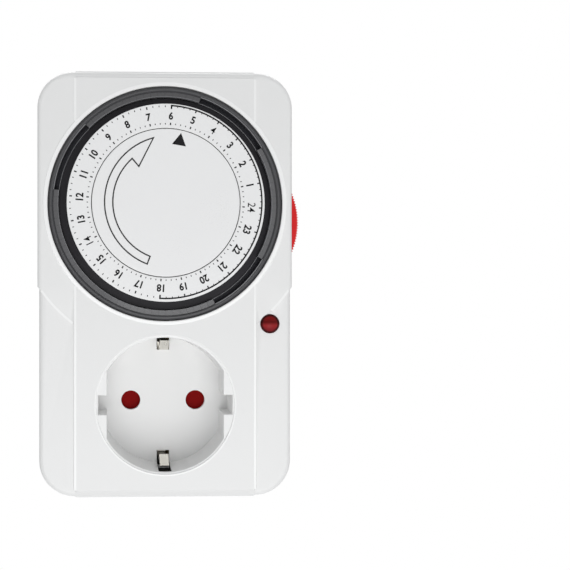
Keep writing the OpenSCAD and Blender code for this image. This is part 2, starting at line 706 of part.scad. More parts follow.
// Bell crank: a nose beside the pushed-in segments, a tail post behind the plate
module trip_lever() color("#d9d4c4") stand() difference() {
    z1 = z_web - 0.6;
    tip = polar(nose_r, nose_dir);
    along = unit(tip - pivot_at);
    across = [-along[1], along[0]];
    tail = unit(lever_post - pivot_at);
    beside = [-tail[1], tail[0]];
    union() {
        disc(pivot_at, z_plate + plate_t + 0.3, z1, hub_r);
        slab(z1 - 1.8, z1) {
            polygon([pivot_at + 1.9 * across, tip + 0.55 * across, tip - 0.55 * across,
                pivot_at - 1.9 * across]);
            translate(tip) circle(0.6);
        }
        slab(z_plate + plate_t + 0.3, z_gear - 0.2) polygon([pivot_at + 1.8 * beside,
            lever_post + 1.1 * beside, lever_post - 1.1 * beside, pivot_at - 1.8 * beside]);
        disc(lever_post, z_thumb + 0.6, z_gear - 0.2, post_pin);
    }
    disc(pivot_at, z_plate, z_web, axle_r + run_gap);
}

module trip_pivot() color(steel) stand() disc(pivot_at, z_plate, z_web - 0.7, axle_r);

module microswitch_body() color(black) stand() difference() {
    translate([switch_at[0], switch_at[1], z_plate - switch_box[2]]) cube(switch_box);
    block(span(lever_post[0], [-1.4, 1.4]), [switch_at[1] - 1, switch_at[1] + 6.5],
        span(z_plate - switch_box[2] / 2, [-1.4, 1.4]));
}

module microswitch_plunger() color(red) stand() block(
    span(lever_post[0], (1.4 - slide_gap) * [-1, 1]), [plunger_y, switch_at[1] + 2.5],
    span(z_plate - switch_box[2] / 2, (1.4 - slide_gap) * [-1, 1]));

module plunger_spring() color(steel) stand()
    coil(lever_post[0], z_plate - switch_box[2] / 2, switch_at[1] + 2.5, switch_at[1] + 6.5, 0.9, 0.15, 4);

module microswitch_blades() color(brass) stand() for (x = blade_x)
    block([x, x + strip], span(switch_at[1], blade_y), span(z_plate - switch_box[2], [-6, 0]));

// ---- lamp ----
// Red window: domed front, collar behind the wall, and a sleeve for the bulb
module lamp_lens() color("#8a1a20") stand() translate([lamp_x, lamp_y, 0]) {
    r = lens_d / 2;
    collar = r + 0.6;
    rotate_extrude() polygon(concat(
        [[r - 0.6, z_inner - 5.5], [r, z_inner - 5.5], [r, z_inner - 1], [collar, z_inner - 1],
            [collar, z_inner], [r, z_inner]],
        [for (a = [0:15:90]) [r * cos(a), z_front + 0.2 + 1.1 * sin(a)]],
        [[0, z_front - 1], [r - 0.6, z_front - 1]]));
}

module neon_bulb() color("#e8c9b0") stand() {
    disc([lamp_x, lamp_y], z_inner - 10, z_inner - 1.5, lens_d / 2 - 0.6 - fit_gap);
    translate([lamp_x, lamp_y, z_inner - 1.5]) sphere(lens_d / 2 - 0.6 - fit_gap);
}

module lamp_resistor() color("#c9b48a") stand() {
    disc(resistor_at, z_earth + 6, z_earth + 12, 1.1);
    for (z = [z_earth + 6, z_earth + 10.8]) disc(resistor_at, z, z + 1.2, 1.3);
}

// ---- outlet: shutter, contacts and earth clips ----
module shutter() color(red) stand() translate([0, outlet_y, 0])
    block((pin_x + shutter_end) * [-1, 1], [-hole_d / 2 - 0.6, hole_d / 2 + 0.75],
        span(z_well - slide_gap, [0.1 - shutter_t, 0]));

module shutter_guide() color("#d8d8d4") stand() translate([0, outlet_y, 0]) difference() {
    block((pin_x + shutter_end + 2) * [-1, 1], [-spring_seat - 1, hole_d / 2 + 2.2], [z_guide, z_well]);
    block((pin_x + shutter_end + slide_gap) * [-1, 1], [-spring_seat, hole_d / 2 + 1],
        [z_guide + 0.6, z_well + 1]);
    for (x = [-pin_x, pin_x]) disc([x, 0], z_guide - 1, z_well, hole_d / 2);
}

module shutter_spring() color(steel) stand()
    coil(0, z_well - shutter_t / 2 - slide_gap, outlet_y - spring_seat, outlet_y - hole_d / 2 - 0.6,
        1.1, 0.2, 5);

// Split brass sleeve with a foot on its bar
module socket_contact(side) color(brass) stand() translate([side * pin_x, outlet_y, 0]) difference() {
    disc([0, 0], z_bar + strip, z_guide - 0.1, sleeve_r);
    disc([0, 0], z_bar + strip + 1.2, z_guide, pin_d / 2 + 0.02);
    for (a = [0, 90]) rotate(a) block([-5, 5], [-0.3, 0.3], [z_bar + strip + 4, z_guide]);
}

// Two sprung clips on one strap behind the well
module socket_earth_clips() color(steel) stand() translate([0, outlet_y, 0]) {
    block(clip_w / 2 * [-1, 1], (well_d / 2 - 2.2) * [-1, 1], span(z_earth + strip, [0, strip_t]));
    r = well_d / 2;
    for (a = [0, 180]) rotate(a) translate([-clip_w / 2, 0, 0]) rotate([90, 0, 90])
        linear_extrude(clip_w) polygon([[r - 2.8, z_earth + strip], [r - 2.2, z_earth + strip],
            [r - 2.2, z_floor + 2], [r - 3.9, z_floor + 7], [r - 1.4, z_floor + 11],
            [r - 1.8, z_floor + 11.4], [r - clip_reach, z_floor + 7], [r - 2.8, z_floor + 2]]);
}

// ---- plug and strips ----
// Solid round pin: domed tip, neck in the nose wall, collar behind the carrier, riveting stud
module plug_pin(side) color(steel) stand() translate([side * pin_x, 0, 0]) {
    disc([0, 0], pin_d / 2 - pin_len, -pin_root, pin_d / 2);
    translate([0, 0, pin_d / 2 - pin_len]) sphere(pin_d / 2);
    disc([0, 0], -pin_root - e, nose_wall + e, pin_d / 2 - 0.25);
    disc([0, 0], nose_wall, z_disc + 1 + e, pin_d / 2);
    disc([0, 0], z_disc + 1, z_back - 0.8, pin_d / 2 + 0.6);
    disc([0, 0], z_back - 0.8 - e, z_back + 0.6, 1.5);
}

module pin_carrier() color("#d8d8d4") stand() difference() {
    slab(nose_wall + fit_gap, z_disc + 1)
        nose2d(nose_d / 2 - nose_wall - fit_gap, nose_flats - 2 * nose_wall - 2 * fit_gap);
    for (x = [-pin_x, pin_x]) disc([x, 0], 0, z_back, pin_d / 2 + 0.01);
    slab(0, nose_wall + 3) earth_slot(strip_r - 2.9, nose_d / 2);
}

// Strips at the top and bottom of the nose, folded over its face
module plug_earth_strips() color(steel) stand() {
    r = strip_r;
    hook = r - 2;
    w = earth_w - 0.3;
    for (s = [0, 180]) rotate([0, 0, s]) translate([-w / 2, 0, 0]) rotate([90, 0, 90])
        linear_extrude(w) polygon([[r + strip_t, z_earth], [r + strip_t, 0.5], [r + strip_t / 2, 0.1],
            [hook + 0.3, 0.1], [hook, 0.4], [hook, nose_wall + 2], [hook + strip_t, nose_wall + 2],
            [hook + strip_t, strip_t + 0.1], [r, strip_t + 0.1], [r, z_earth]]);
}

module riveted(side) difference() {
    block(span(side * pin_x, bar_w / 2 * [-1, 1]), [-3, 3], span(z_back - 0.8, [0, strip]));
    disc([side * pin_x, 0], z_back - 2, z_back + 2, 1.5);
}

module neutral_bar() color(brass) stand() {
    riveted(-1);
    block(span(-pin_x, bar_w / 2 * [-1, 1]), [-3 - strip, -3], [z_back - 0.8, z_bar + strip]);
    block(span(-pin_x, bar_w / 2 * [-1, 1]), [outlet_y - bar_w / 2, -3 - strip + e], [z_bar, z_bar + strip]);
}

module live_bar() color(brass) stand() {
    x1 = blade_x[0] + 2 * strip;
    riveted(1);
    block(span(pin_x, bar_w / 2 * [-1, 1]), [3, 3 + strip], [z_back - 0.8, z_bar + strip]);
    block([pin_x - bar_w / 2, x1], [3 + strip - e, switch_at[1] + blade_y[1]], [z_bar, z_bar + strip]);
    block([x1 - strip, x1], span(switch_at[1], blade_y), [z_bar, z_plate - switch_box[2] - 2]);
}

module switched_bar() color(brass) stand() {
    x0 = blade_x[2] + strip;
    block([x0, x0 + strip], span(switch_at[1], blade_y), [z_bar, z_plate - switch_box[2] - 2]);
    block([x0 - 3, x0 + 2], [outlet_y - bar_w / 2, switch_at[1] + blade_y[1]], [z_bar, z_bar + strip]);
    block([pin_x - bar_w / 2, x0], span(outlet_y, bar_w / 2 * [-1, 1]), [z_bar, z_bar + strip]);
}

module earth_bar() color("#b9b07a") stand()
    block(bar_w / 2 * [-1, 1], [outlet_y - well_d / 2 + 2, nose_d / 2], [z_earth, z_earth + strip]);

// Insulated leads, from hand-set points
module motor_leads() color("#3a5f9a") stand() {
    m = motor_at;
    z = z_bar + strip;
    wire(smooth([[-pin_x, -14, z], [-pin_x, -13, z + 3], [-pin_x - 2, -9, z + 6],
        [m[0] + 1, m[1] - can_r - 0.8, z + 7]], 5), 0.7);
    wire(smooth([[pin_x, 14, z], [pin_x, 13, z + 3], [m[0] + can_r + 2.5, m[1], z + 6],
        [m[0] + can_r + 0.8, m[1], z + 7]], 5), 0.7);
}

module lamp_leads() color("#7a4a3a") stand() {
    z = z_bar + strip;
    b = z_inner - 10;
    tap = [blade_x[2] + strip / 2, lamp_y];
    low = lamp_y - 9;
    wire(smooth([[lamp_x - 0.8, lamp_y, b], [lamp_x - 1.6, lamp_y, b - 6], [tap[0], tap[1], z + 4],
        [tap[0], tap[1], z]], 4), 0.45);
    wire(smooth([[lamp_x + 0.8, lamp_y, b], [lamp_x + 0.8, lamp_y, b - 2.5],
        [resistor_at[0], resistor_at[1], b - 4], [resistor_at[0], resistor_at[1], z_earth + 12]], 4), 0.45);
    wire(smooth([[resistor_at[0], resistor_at[1], z_earth + 6], [resistor_at[0], resistor_at[1], z_earth + 4],
        [22, low, z_earth + 3.4], [-4, low, z_earth + 3.4], [-pin_x, low, z + 3], [-pin_x, low, z]],
        4), 0.45);
}

front_housing();
socket_well();
rear_cover();
plug_insert();
case_screws();
movement_plate();
plate_screws();
dial_spindle();
friction_washer();
dial_clip();
centre_cap();
dial_carrier();
dial_scale();
segment_bank(0);  // segment_bank_1
segment_bank(1);  // segment_bank_2
segment_bank(2);  // segment_bank_3
segment_bank(3);  // segment_bank_4
segment_bank(4);  // segment_bank_5
segment_bank(5);  // segment_bank_6
motor_lid();
motor_can();
motor_coil();
motor_rotor();
motor_pinion();
idler_gear();
idler_axle();
side_switch();
switch_pivot();
switch_detent();
trip_lever();
trip_pivot();
microswitch_body();
microswitch_plunger();
plunger_spring();
microswitch_blades();
lamp_lens();
neon_bulb();
lamp_resistor();
shutter();
shutter_spring();
shutter_guide();
socket_contact(-1);  // socket_contact_left
socket_contact(1);  // socket_contact_right
socket_earth_clips();
plug_pin(-1);  // plug_pin_left
plug_pin(1);  // plug_pin_right
pin_carrier();
plug_earth_strips();
live_bar();
switched_bar();
neutral_bar();
earth_bar();
motor_leads();
lamp_leads();
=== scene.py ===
import math

import bmesh
import bpy
from mathutils import Matrix, Vector


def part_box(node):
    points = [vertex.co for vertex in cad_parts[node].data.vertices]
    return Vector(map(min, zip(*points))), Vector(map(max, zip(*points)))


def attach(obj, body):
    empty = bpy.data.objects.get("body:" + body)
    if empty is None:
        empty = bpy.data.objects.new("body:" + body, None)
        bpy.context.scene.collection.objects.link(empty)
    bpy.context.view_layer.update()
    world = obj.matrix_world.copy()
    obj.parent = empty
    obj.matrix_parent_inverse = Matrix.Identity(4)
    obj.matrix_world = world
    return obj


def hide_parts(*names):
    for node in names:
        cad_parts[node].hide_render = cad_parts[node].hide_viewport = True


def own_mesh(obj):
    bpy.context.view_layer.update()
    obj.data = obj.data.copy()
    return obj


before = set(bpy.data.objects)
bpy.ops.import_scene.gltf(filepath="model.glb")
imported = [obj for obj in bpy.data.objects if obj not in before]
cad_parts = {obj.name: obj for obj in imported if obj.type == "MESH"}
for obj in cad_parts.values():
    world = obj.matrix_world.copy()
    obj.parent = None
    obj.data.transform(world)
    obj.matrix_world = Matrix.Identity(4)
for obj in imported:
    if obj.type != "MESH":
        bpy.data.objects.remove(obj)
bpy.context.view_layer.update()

mm = 0.001


# ---- Room, lights and camera ----
# A pale floor well below the hanging timer, a soft light tent around it, brightest from below in
# front and from above behind, and a dark card for the plug's metal to reflect. The camera stands in
# front, a little to the left of the dial.

case_low, case_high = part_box("front_housing")
front_y = case_low.y
CASE_MIDDLE = -23 * mm
CAMERA_DISTANCE = 400 * mm
CAMERA_SIDE = -16 * mm
AIM_SIDE = 4.8 * mm
PICTURE_PX = 570
FRONT_PX_PER_M = 3544
SENSOR_MM = 36
SHIFT_RIGHT = 0.18
FLOOR_DROP, FLOOR_HALF, FLOOR_GREY, FLOOR_GLOW = 0.9, 3.0, 0.9, 0.75
CARD_MIDDLE, CARD_HALF, CARD_GREY = (0, 1.1, -0.12), (1.3, 0.50), 0.01
TENT_COLOUR, TENT_STRENGTH = (0.97, 0.985, 1.0), 0.50
SQUARE = ((-1, -1), (1, -1), (1, 1), (-1, 1))


def shader_nodes(owner):
    """An empty node tree to fill, and its links."""
    owner.use_nodes = True
    owner.node_tree.nodes.clear()
    return owner.node_tree.nodes, owner.node_tree.links


def arithmetic(nodes, links, kind="ShaderNodeMath"):
    """A function that adds a math node fed by sockets or plain values, and gives its output."""
    def work_out(operation, *inputs):
        node = nodes.new(kind)
        node.operation = operation
        for socket, value in zip(node.inputs, inputs):
            if isinstance(value, bpy.types.NodeSocket):
                links.new(value, socket)
            else:
                socket.default_value = value
        return node.outputs[0]

    return work_out


def white_to_camera(nodes, links):
    """One where the eye, a reflection or a view through glass meets the background."""
    path = nodes.new("ShaderNodeLightPath").outputs
    work_out = arithmetic(nodes, links)
    direct = work_out("MAXIMUM", path["Is Camera Ray"], path["Is Glossy Ray"])
    return work_out("MAXIMUM", direct, path["Is Transmission Ray"])


def sheet(name, corners, grey):
    """A flat four-cornered piece of the room, its matt paint and that paint's output."""
    mesh = bpy.data.meshes.new(name)
    mesh.from_pydata(corners, [], [(0, 1, 2, 3)])
    piece = bpy.data.objects.new(name, mesh)
    bpy.context.scene.collection.objects.link(piece)
    paint = bpy.data.materials.new(name + "_paint")
    mesh.materials.append(paint)
    nodes, links = shader_nodes(paint)
    matt = nodes.new("ShaderNodeBsdfDiffuse")
    matt.inputs["Color"].default_value = (grey, grey, grey, 1)
    out = nodes.new("ShaderNodeOutputMaterial")
    links.new(matt.outputs[0], out.inputs["Surface"])
    return piece, matt, out


def build_room():
    scene = bpy.context.scene
    scene.view_settings.view_transform = "Standard"
    world = bpy.data.worlds.new("light_tent")
    scene.world = world
    nodes, links = shader_nodes(world)
    tent = nodes.new("ShaderNodeBackground")
    tent.inputs["Color"].default_value = (*TENT_COLOUR, 1)
    tent.inputs["Strength"].default_value = TENT_STRENGTH
    paper = nodes.new("ShaderNodeBackground")
    paper.inputs["Color"].default_value = (1, 1, 1, 1)
    paper.inputs["Strength"].default_value = 1
    mix = nodes.new("ShaderNodeMixShader")
    out = nodes.new("ShaderNodeOutputWorld")
    links.new(white_to_camera(nodes, links), mix.inputs["Fac"])
    links.new(tent.outputs[0], mix.inputs[1])
    links.new(paper.outputs[0], mix.inputs[2])
    links.new(mix.outputs[0], out.inputs["Surface"])

    floor_z = case_low.z - FLOOR_DROP
    corners = [(x * FLOOR_HALF, y * FLOOR_HALF, floor_z) for x, y in SQUARE]
    floor, matt, out = sheet("floor", corners, FLOOR_GREY)
    nodes, links = floor.data.materials[0].node_tree.nodes, floor.data.materials[0].node_tree.links
    glow = nodes.new("ShaderNodeEmission")
    links.new(white_to_camera(nodes, links), glow.inputs["Strength"])
    glow.inputs["Color"].default_value = (FLOOR_GLOW, FLOOR_GLOW, FLOOR_GLOW, 1)
    both = nodes.new("ShaderNodeAddShader")
    links.new(matt.outputs[0], both.inputs[0])
    links.new(glow.outputs[0], both.inputs[1])
    links.new(both.outputs[0], out.inputs["Surface"])


def dark_card():
    """A matt black card behind the timer, which only shows in its bright metal."""
    x, y, z = CARD_MIDDLE
    corners = [(x + i * CARD_HALF[0], y, z + k * CARD_HALF[1]) for i, k in SQUARE]
    card = sheet("dark_card", corners, CARD_GREY)[0]
    card.visible_camera = card.visible_diffuse = card.visible_shadow = False


def soft_light(name, place, aim, size, power):
    data = bpy.data.lights.new(name, "AREA")
    data.shape = "RECTANGLE"
    data.size, data.size_y = size
    data.energy = power
    lamp = bpy.data.objects.new(name, data)
    lamp.location = place
    lamp.rotation_euler = (Vector(aim) - Vector(place)).to_track_quat("-Z", "Y").to_euler()
    bpy.context.scene.collection.objects.link(lamp)


build_room()
middle = (0, front_y, CASE_MIDDLE)
soft_light("tent_left", (-0.60, -0.62, -0.16), middle, (0.35, 0.8), 0.2)
soft_light("tent_right", (0.60, -0.62, 0.10), middle, (0.35, 0.8), 0.4)
soft_light("tent_front", (0.05, -1.25, -0.50), middle, (0.9, 0.9), 7.0)
soft_light("tent_behind", (0.05, 0.60, 0.95), (0, 0, CASE_MIDDLE), (1.4, 0.9), 8.0)
dark_card()

lens = bpy.data.cameras.new("camera")
lens.sensor_width = SENSOR_MM
lens.lens = SENSOR_MM * FRONT_PX_PER_M * CAMERA_DISTANCE / PICTURE_PX
lens.shift_x = SHIFT_RIGHT
lens.clip_start = 10 * mm
camera = bpy.data.objects.new("camera", lens)
camera.location = (CAMERA_SIDE, front_y - CAMERA_DISTANCE, CASE_MIDDLE)
camera.rotation_euler = (math.pi / 2, 0, -math.atan2(AIM_SIDE - CAMERA_SIDE, CAMERA_DISTANCE))
bpy.context.scene.collection.objects.link(camera)
bpy.context.scene.camera = camera


# ---- Front housing ----
# The tall front shell, injection moulded in satin white plastic: a raised head around the dial,
# a middle band 0.35 mm proud, and openings for the dial, the outlet, the lamp and the red switch.

WHITE = (0.80, 0.80, 0.795)
FLOW_SCALE, GRAIN_SCALE = 45, 3000
SPECK_TONE, FLOW_ROUGHNESS, SPECK_ROUGHNESS = 0.4, 0.12, 0.10
RELIEF_STRENGTH = 0.5
SMOOTH_BELOW = 40


def surface_group(name, *inputs):
    """A shader group that gives colour, roughness and height from named inputs."""
    group = bpy.data.node_groups.new(name, "ShaderNodeTree")
    for label, kind, value in inputs:
        socket = group.interface.new_socket(name=label, in_out="INPUT", socket_type=kind)
        socket.default_value = value
    results = (("Colour", "NodeSocketColor"), ("Roughness", "NodeSocketFloat"), ("Height", "NodeSocketFloat"))
    for label, kind in results:
        group.interface.new_socket(name=label, in_out="OUTPUT", socket_type=kind)
    return group, group.nodes.new("NodeGroupInput").outputs, group.nodes.new("NodeGroupOutput").inputs


def noise(nodes, links, place, scale, detail):
    """How far a soft noise is from its middle value, and the noise itself."""
    cloud = nodes.new("ShaderNodeTexNoise")
    cloud.inputs["Scale"].default_value = scale
    cloud.inputs["Detail"].default_value = detail
    links.new(place, cloud.inputs["Vector"])
    return arithmetic(nodes, links)("SUBTRACT", cloud.outputs["Fac"], 0.5), cloud.outputs["Fac"]


def scaled(nodes, links, colour, factor):
    scale = nodes.new("ShaderNodeVectorMath")
    scale.operation = "SCALE"
    links.new(colour, scale.inputs[0])
    links.new(factor, scale.inputs["Scale"])
    return scale.outputs["Vector"]


def build_moulded():
    """Colour, roughness and surface height of moulded plastic, from the piece's own coordinates."""
    group, given, result = surface_group("moulded plastic", ("Colour", "NodeSocketColor", (0.8, 0.8, 0.8, 1)),
                                         ("Shade", "NodeSocketFloat", 0.03),
                                         ("Roughness", "NodeSocketFloat", 0.4))
    nodes, links = group.nodes, group.links
    work_out = arithmetic(nodes, links)
    place = nodes.new("ShaderNodeTexCoord").outputs["Object"]
    drift = noise(nodes, links, place, FLOW_SCALE, 3)[0]
    speck, grain = noise(nodes, links, place, GRAIN_SCALE, 2)
    mottle = work_out("ADD", drift, work_out("MULTIPLY", speck, SPECK_TONE))
    tone = work_out("MULTIPLY", mottle, given["Shade"])
    links.new(scaled(nodes, links, given["Colour"], work_out("ADD", tone, 1.0)), result["Colour"])
    rough = work_out("ADD", work_out("MULTIPLY", drift, FLOW_ROUGHNESS),
                     work_out("MULTIPLY", speck, SPECK_ROUGHNESS))
    links.new(work_out("ADD", rough, given["Roughness"]), result["Roughness"])
    links.new(grain, result["Height"])
    return group


moulded = build_moulded()


def finished(name, colour, group, settings, bump, constants):
    """A material that takes its colour, roughness and relief from a node group. The constants go
    on the shader's own sockets, and bump is the relief's height in millimetres."""
    material = bpy.data.materials.new(name)
    material.diffuse_color = (*colour, 1)
    nodes, links = shader_nodes(material)
    surface = nodes.new("ShaderNodeGroup")
    surface.node_tree = group
    surface.inputs["Colour"].default_value = (*colour, 1)
    for label, value in settings.items():
        surface.inputs[label].default_value = value
    shader = nodes.new("ShaderNodeBsdfPrincipled")
    for label, value in constants.items():
        shader.inputs[label.replace("_", " ")].default_value = value
    relief = nodes.new("ShaderNodeBump")
    relief.inputs["Strength"].default_value = RELIEF_STRENGTH
    relief.inputs["Distance"].default_value = bump * mm
    out = nodes.new("ShaderNodeOutputMaterial")
    links.new(surface.outputs["Colour"], shader.inputs["Base Color"])
    links.new(surface.outputs["Roughness"], shader.inputs["Roughness"])
    links.new(surface.outputs["Height"], relief.inputs["Height"])
    links.new(relief.outputs["Normal"], shader.inputs["Normal"])
    links.new(shader.outputs[0], out.inputs["Surface"])
    return material


def plastic(name, colour, shade=0.03, rough=0.38, bump=0.02, **constants):
    """A moulded plastic; shade is how much its tone drifts."""
    return finished(name, colour, moulded, {"Shade": shade, "Roughness": rough}, bump, constants)


def add_piece(name, mesh, material):
    """A new object at the origin with one material."""
    piece = bpy.data.objects.new(name, mesh)
    bpy.context.scene.collection.objects.link(piece)
    mesh.materials.clear()
    mesh.materials.append(material)
    return piece


def final_mesh(piece):
    """Apply the piece's modifiers and leave it with the plain mesh."""
    bpy.context.view_layer.update()
    evaluated = piece.evaluated_get(bpy.context.evaluated_depsgraph_get())
    mesh = bpy.data.meshes.new_from_object(evaluated)
    piece.modifiers.clear()
    old = piece.data
    piece.data = mesh
    bpy.data.meshes.remove(old)
    mesh.name = piece.name
    return mesh


def softened(node, name, material, slot, edge, segments=2, reshape=None, sharp=30, only=None):
    """The node's shape with rounded square edges; edge is their radius in millimetres, and with 0
    only the shading is eased. reshape may move the copy's points first, and only picks the edges
    to round by their middle."""
    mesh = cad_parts[node].data.copy()
    if mesh.has_custom_normals:
        mesh.attributes.remove(mesh.attributes["custom_normal"])
    solid = bmesh.new()
    solid.from_mesh(mesh)
    bmesh.ops.remove_doubles(solid, verts=solid.verts, dist=1e-6)
    if reshape:
        reshape(solid)
    weight = solid.edges.layers.float.new("bevel_weight_edge")
    for line in solid.edges:
        wanted = only is None or only((line.verts[0].co + line.verts[1].co) / 2)
        if edge and wanted and len(line.link_faces) == 2 and math.degrees(line.calc_face_angle(0)) > sharp:
            line[weight] = 1.0
    solid.to_mesh(mesh)
    solid.free()
    piece = add_piece(name, mesh, material)
    if edge:
        rounding = piece.modifiers.new("rounding", "BEVEL")
        rounding.limit_method = "WEIGHT"
        rounding.offset_type = "OFFSET"
        rounding.width = edge * mm
        rounding.segments = segments
        rounding.use_clamp_overlap = False
    mesh = final_mesh(piece)
    for face in mesh.polygons:
        face.use_smooth = True
    mesh.set_sharp_from_angle(angle=math.radians(SMOOTH_BELOW))
    flatness = piece.modifiers.new("flatness", "WEIGHTED_NORMAL")
    flatness.keep_sharp = True
    final_mesh(piece)
    return piece


def put(piece, body, *nodes):
    """The piece rides on a body and stands for these nodes."""
    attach(piece, body)
    if nodes:
        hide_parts(*nodes)
    return piece


def dress(node, name, material, slot, body="root", **rounding):
    """Stand the node's softened shape in for it."""
    return put(softened(node, name, material, slot, **rounding), body, node)


case_white = plastic("case_white", WHITE, shade=0.02, rough=0.34, bump=0.006,
                     Coat_Weight=0.12, Coat_Roughness=0.25)
dress("front_housing", "front_shell", case_white, "case_white", edge=0)


# ---- Outlet insert ----
# The round well that takes a plug, moulded apart from the shell and screwed in behind it. Two flat
# side walls with a notch each, a floor with two pin holes, and a slot at the top and bottom.

well_low, well_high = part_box("socket_well")
WELL_Z = (well_low.z + well_high.z) / 2
WELL_RIM = 19.7 * mm
RIM_GROWTH = 0.09 * mm
RIM_DEPTH = 3 * mm
SAME_PLACE, SAME_FACE = 0.01 * mm, 0.05 * mm


def close_the_seam(solid):
    """Widen the rim until it meets the opening in the shell."""
    for corner in solid.verts:
        reach = math.hypot(corner.co.x, corner.co.z - WELL_Z)
        if abs(reach - WELL_RIM) < SAME_PLACE and corner.co.y < well_low.y + RIM_DEPTH:
            growth = 1 + RIM_GROWTH / reach
            corner.co.x *= growth
            corner.co.z = WELL_Z + (corner.co.z - WELL_Z) * growth


def on_the_face(place):
    return place.y < well_low.y + SAME_FACE


well_white = plastic("well_white", (0.85, 0.85, 0.845), shade=0.02, rough=0.36, bump=0.004)
dress("socket_well", "outlet_well", well_white, "case_white", edge=0.2, segments=3,
      reshape=close_the_seam, only=on_the_face)


# ---- Rear cover and plug insert ----
# The shallow tray behind the shell and the round plug that fills its opening, both moulded in a
# slightly greyer plastic. The plug face carries a raised earth sign between the pins.

case_grey = plastic("case_grey", (0.70, 0.70, 0.695), shade=0.02, rough=0.32, bump=0.006,
                    Coat_Weight=0.12, Coat_Roughness=0.25)
dress("rear_cover", "back_tray", case_grey, "case_grey", edge=0)
dress("plug_insert", "plug_body", case_grey, "case_grey", edge=0.2, segments=3)


MITRE_LIMIT = 0.45


def ribbon(solid, points, width, low, high, closed=True):
    """Add a strip of even width, between two depths, that follows a line with mitred corners."""
    rows = []
    count = len(points)
    for i, (x, z) in enumerate(points):
        before = points[i - 1] if closed or i else points[0]
        after = points[(i + 1) % count] if closed or i < count - 1 else points[-1]
        into = Vector((x - before[0], z - before[1]))
        away = Vector((after[0] - x, after[1] - z))
        into = into.normalized() if into.length else away.normalized()
        away = away.normalized() if away.length else into
        mid = (into + away).normalized()
        side = Vector((-mid.y, mid.x))
        side *= width / 2 / max(MITRE_LIMIT, side.dot(Vector((-into.y, into.x))))
        rows.append([solid.verts.new(((x + s * side.x) * mm, y * mm, (z + s * side.y) * mm))
                     for s, y in ((1, low), (-1, low), (-1, high), (1, high))])
    for i in range(count if closed else count - 1):
        here, there = rows[i], rows[(i + 1) % count]
        for k in range(4):
            solid.faces.new((here[k], here[(k + 1) % 4], there[(k + 1) % 4], there[k]))
    if not closed:
        solid.faces.new(rows[0][::-1])
        solid.faces.new(rows[-1])


def arc_points(radius, first, last, centre=(0, 0), step=3.0):
    """Points on an arc, in degrees clockwise from the top."""
    count = max(2, int(abs(last - first) / step) + 1)
    turns = [math.radians(first + (last - first) * i / (count - 1)) for i in range(count)]
    return [(centre[0] + radius * math.sin(t), centre[1] + radius * math.cos(t)) for t in turns]


def mesh_of(solid, name, smooth=None):
    """The bmesh as a mesh with its faces outwards."""
    bmesh.ops.remove_doubles(solid, verts=solid.verts, dist=1e-7)
    bmesh.ops.recalc_face_normals(solid, faces=solid.faces)
    mesh = bpy.data.meshes.new(name)
    solid.to_mesh(mesh)
    solid.free()
    if smooth:
        for face in mesh.polygons:
            face.use_smooth = True
        mesh.set_sharp_from_angle(angle=math.radians(smooth))
    return mesh


SIGN_CENTRE = (0, 5.4)
SIGN_RADIUS = 3.4
SIGN_LINE = 0.36
SIGN_HEIGHT = 0.2
SIGN_STEM = [(0, 8.1), (0, 5.5)]
SIGN_BARS = ((5.3, 2.6), (4.0, 1.6), (2.85, 0.7))
sign_lines = bmesh.new()
ribbon(sign_lines, arc_points(SIGN_RADIUS, 0, 355, SIGN_CENTRE, step=5), SIGN_LINE, 0, SIGN_HEIGHT)
for line in (SIGN_STEM, *([(-half, z), (half, z)] for z, half in SIGN_BARS)):
    ribbon(sign_lines, line, SIGN_LINE, 0, SIGN_HEIGHT, closed=False)
edge_grey = plastic("edge_grey", WHITE, shade=0.01, rough=0.3, bump=0.0)
put(add_piece("earth_sign", mesh_of(sign_lines, "earth_sign"), edge_grey), "root")


# ---- Screws ----
# Zinc-plated steel screws: four long ones hold the two shells together from the back, eight small
# pan heads with a slot hold the plate, the motor and the outlet insert.

STREAK_SCALE, STAIN_SCALE = 1000, 220
STREAK_TONE, STREAK_ROUGHNESS = 0.12, 1.2


def build_worked():
    """Colour, roughness and height of metal with a drawn or turned grain, stretched along an axis."""
    group, given, result = surface_group("worked metal", ("Colour", "NodeSocketColor", (0.8, 0.8, 0.8, 1)),
                                         ("Roughness", "NodeSocketFloat", 0.3),
                                         ("Lines", "NodeSocketVector", (1.0, 1.0, 1.0)),
                                         ("Stain", "NodeSocketFloat", 0.1))
    nodes, links = group.nodes, group.links
    work_out = arithmetic(nodes, links)
    place = nodes.new("ShaderNodeTexCoord").outputs["Object"]
    stretched = arithmetic(nodes, links, "ShaderNodeVectorMath")("MULTIPLY", place, given["Lines"])
    streak, grain = noise(nodes, links, stretched, STREAK_SCALE, 3)
    stain = noise(nodes, links, place, STAIN_SCALE, 2)[0]
    fade = work_out("MULTIPLY", stain, given["Stain"])
    line = work_out("MULTIPLY", streak, STREAK_TONE)
    tone = work_out("ADD", work_out("ADD", fade, line), 1.0)
    links.new(scaled(nodes, links, given["Colour"], tone), result["Colour"])
    uneven = work_out("ADD", work_out("MULTIPLY", line, STREAK_ROUGHNESS), given["Roughness"])
    links.new(work_out("ADD", uneven, fade), result["Roughness"])
    links.new(grain, result["Height"])
    return group


worked = build_worked()


def metal(name, colour, rough=0.3, lines=(1.0, 1.0, 1.0), stain=0.1, bump=0.004, **constants):
    """Bare or plated metal; lines stretches its grain, small numbers along the drawn direction."""
    settings = {"Roughness": rough, "Lines": lines, "Stain": stain}
    return finished(name, colour, worked, settings, bump, {"Metallic": 1.0, **constants})


zinc = metal("zinc_plate", (0.56, 0.57, 0.58), rough=0.34, stain=0.16)
dress("case_screws", "long_screws", zinc, "steel", edge=0.15)
dress("plate_screws", "pan_screws", zinc, "steel", edge=0.08)


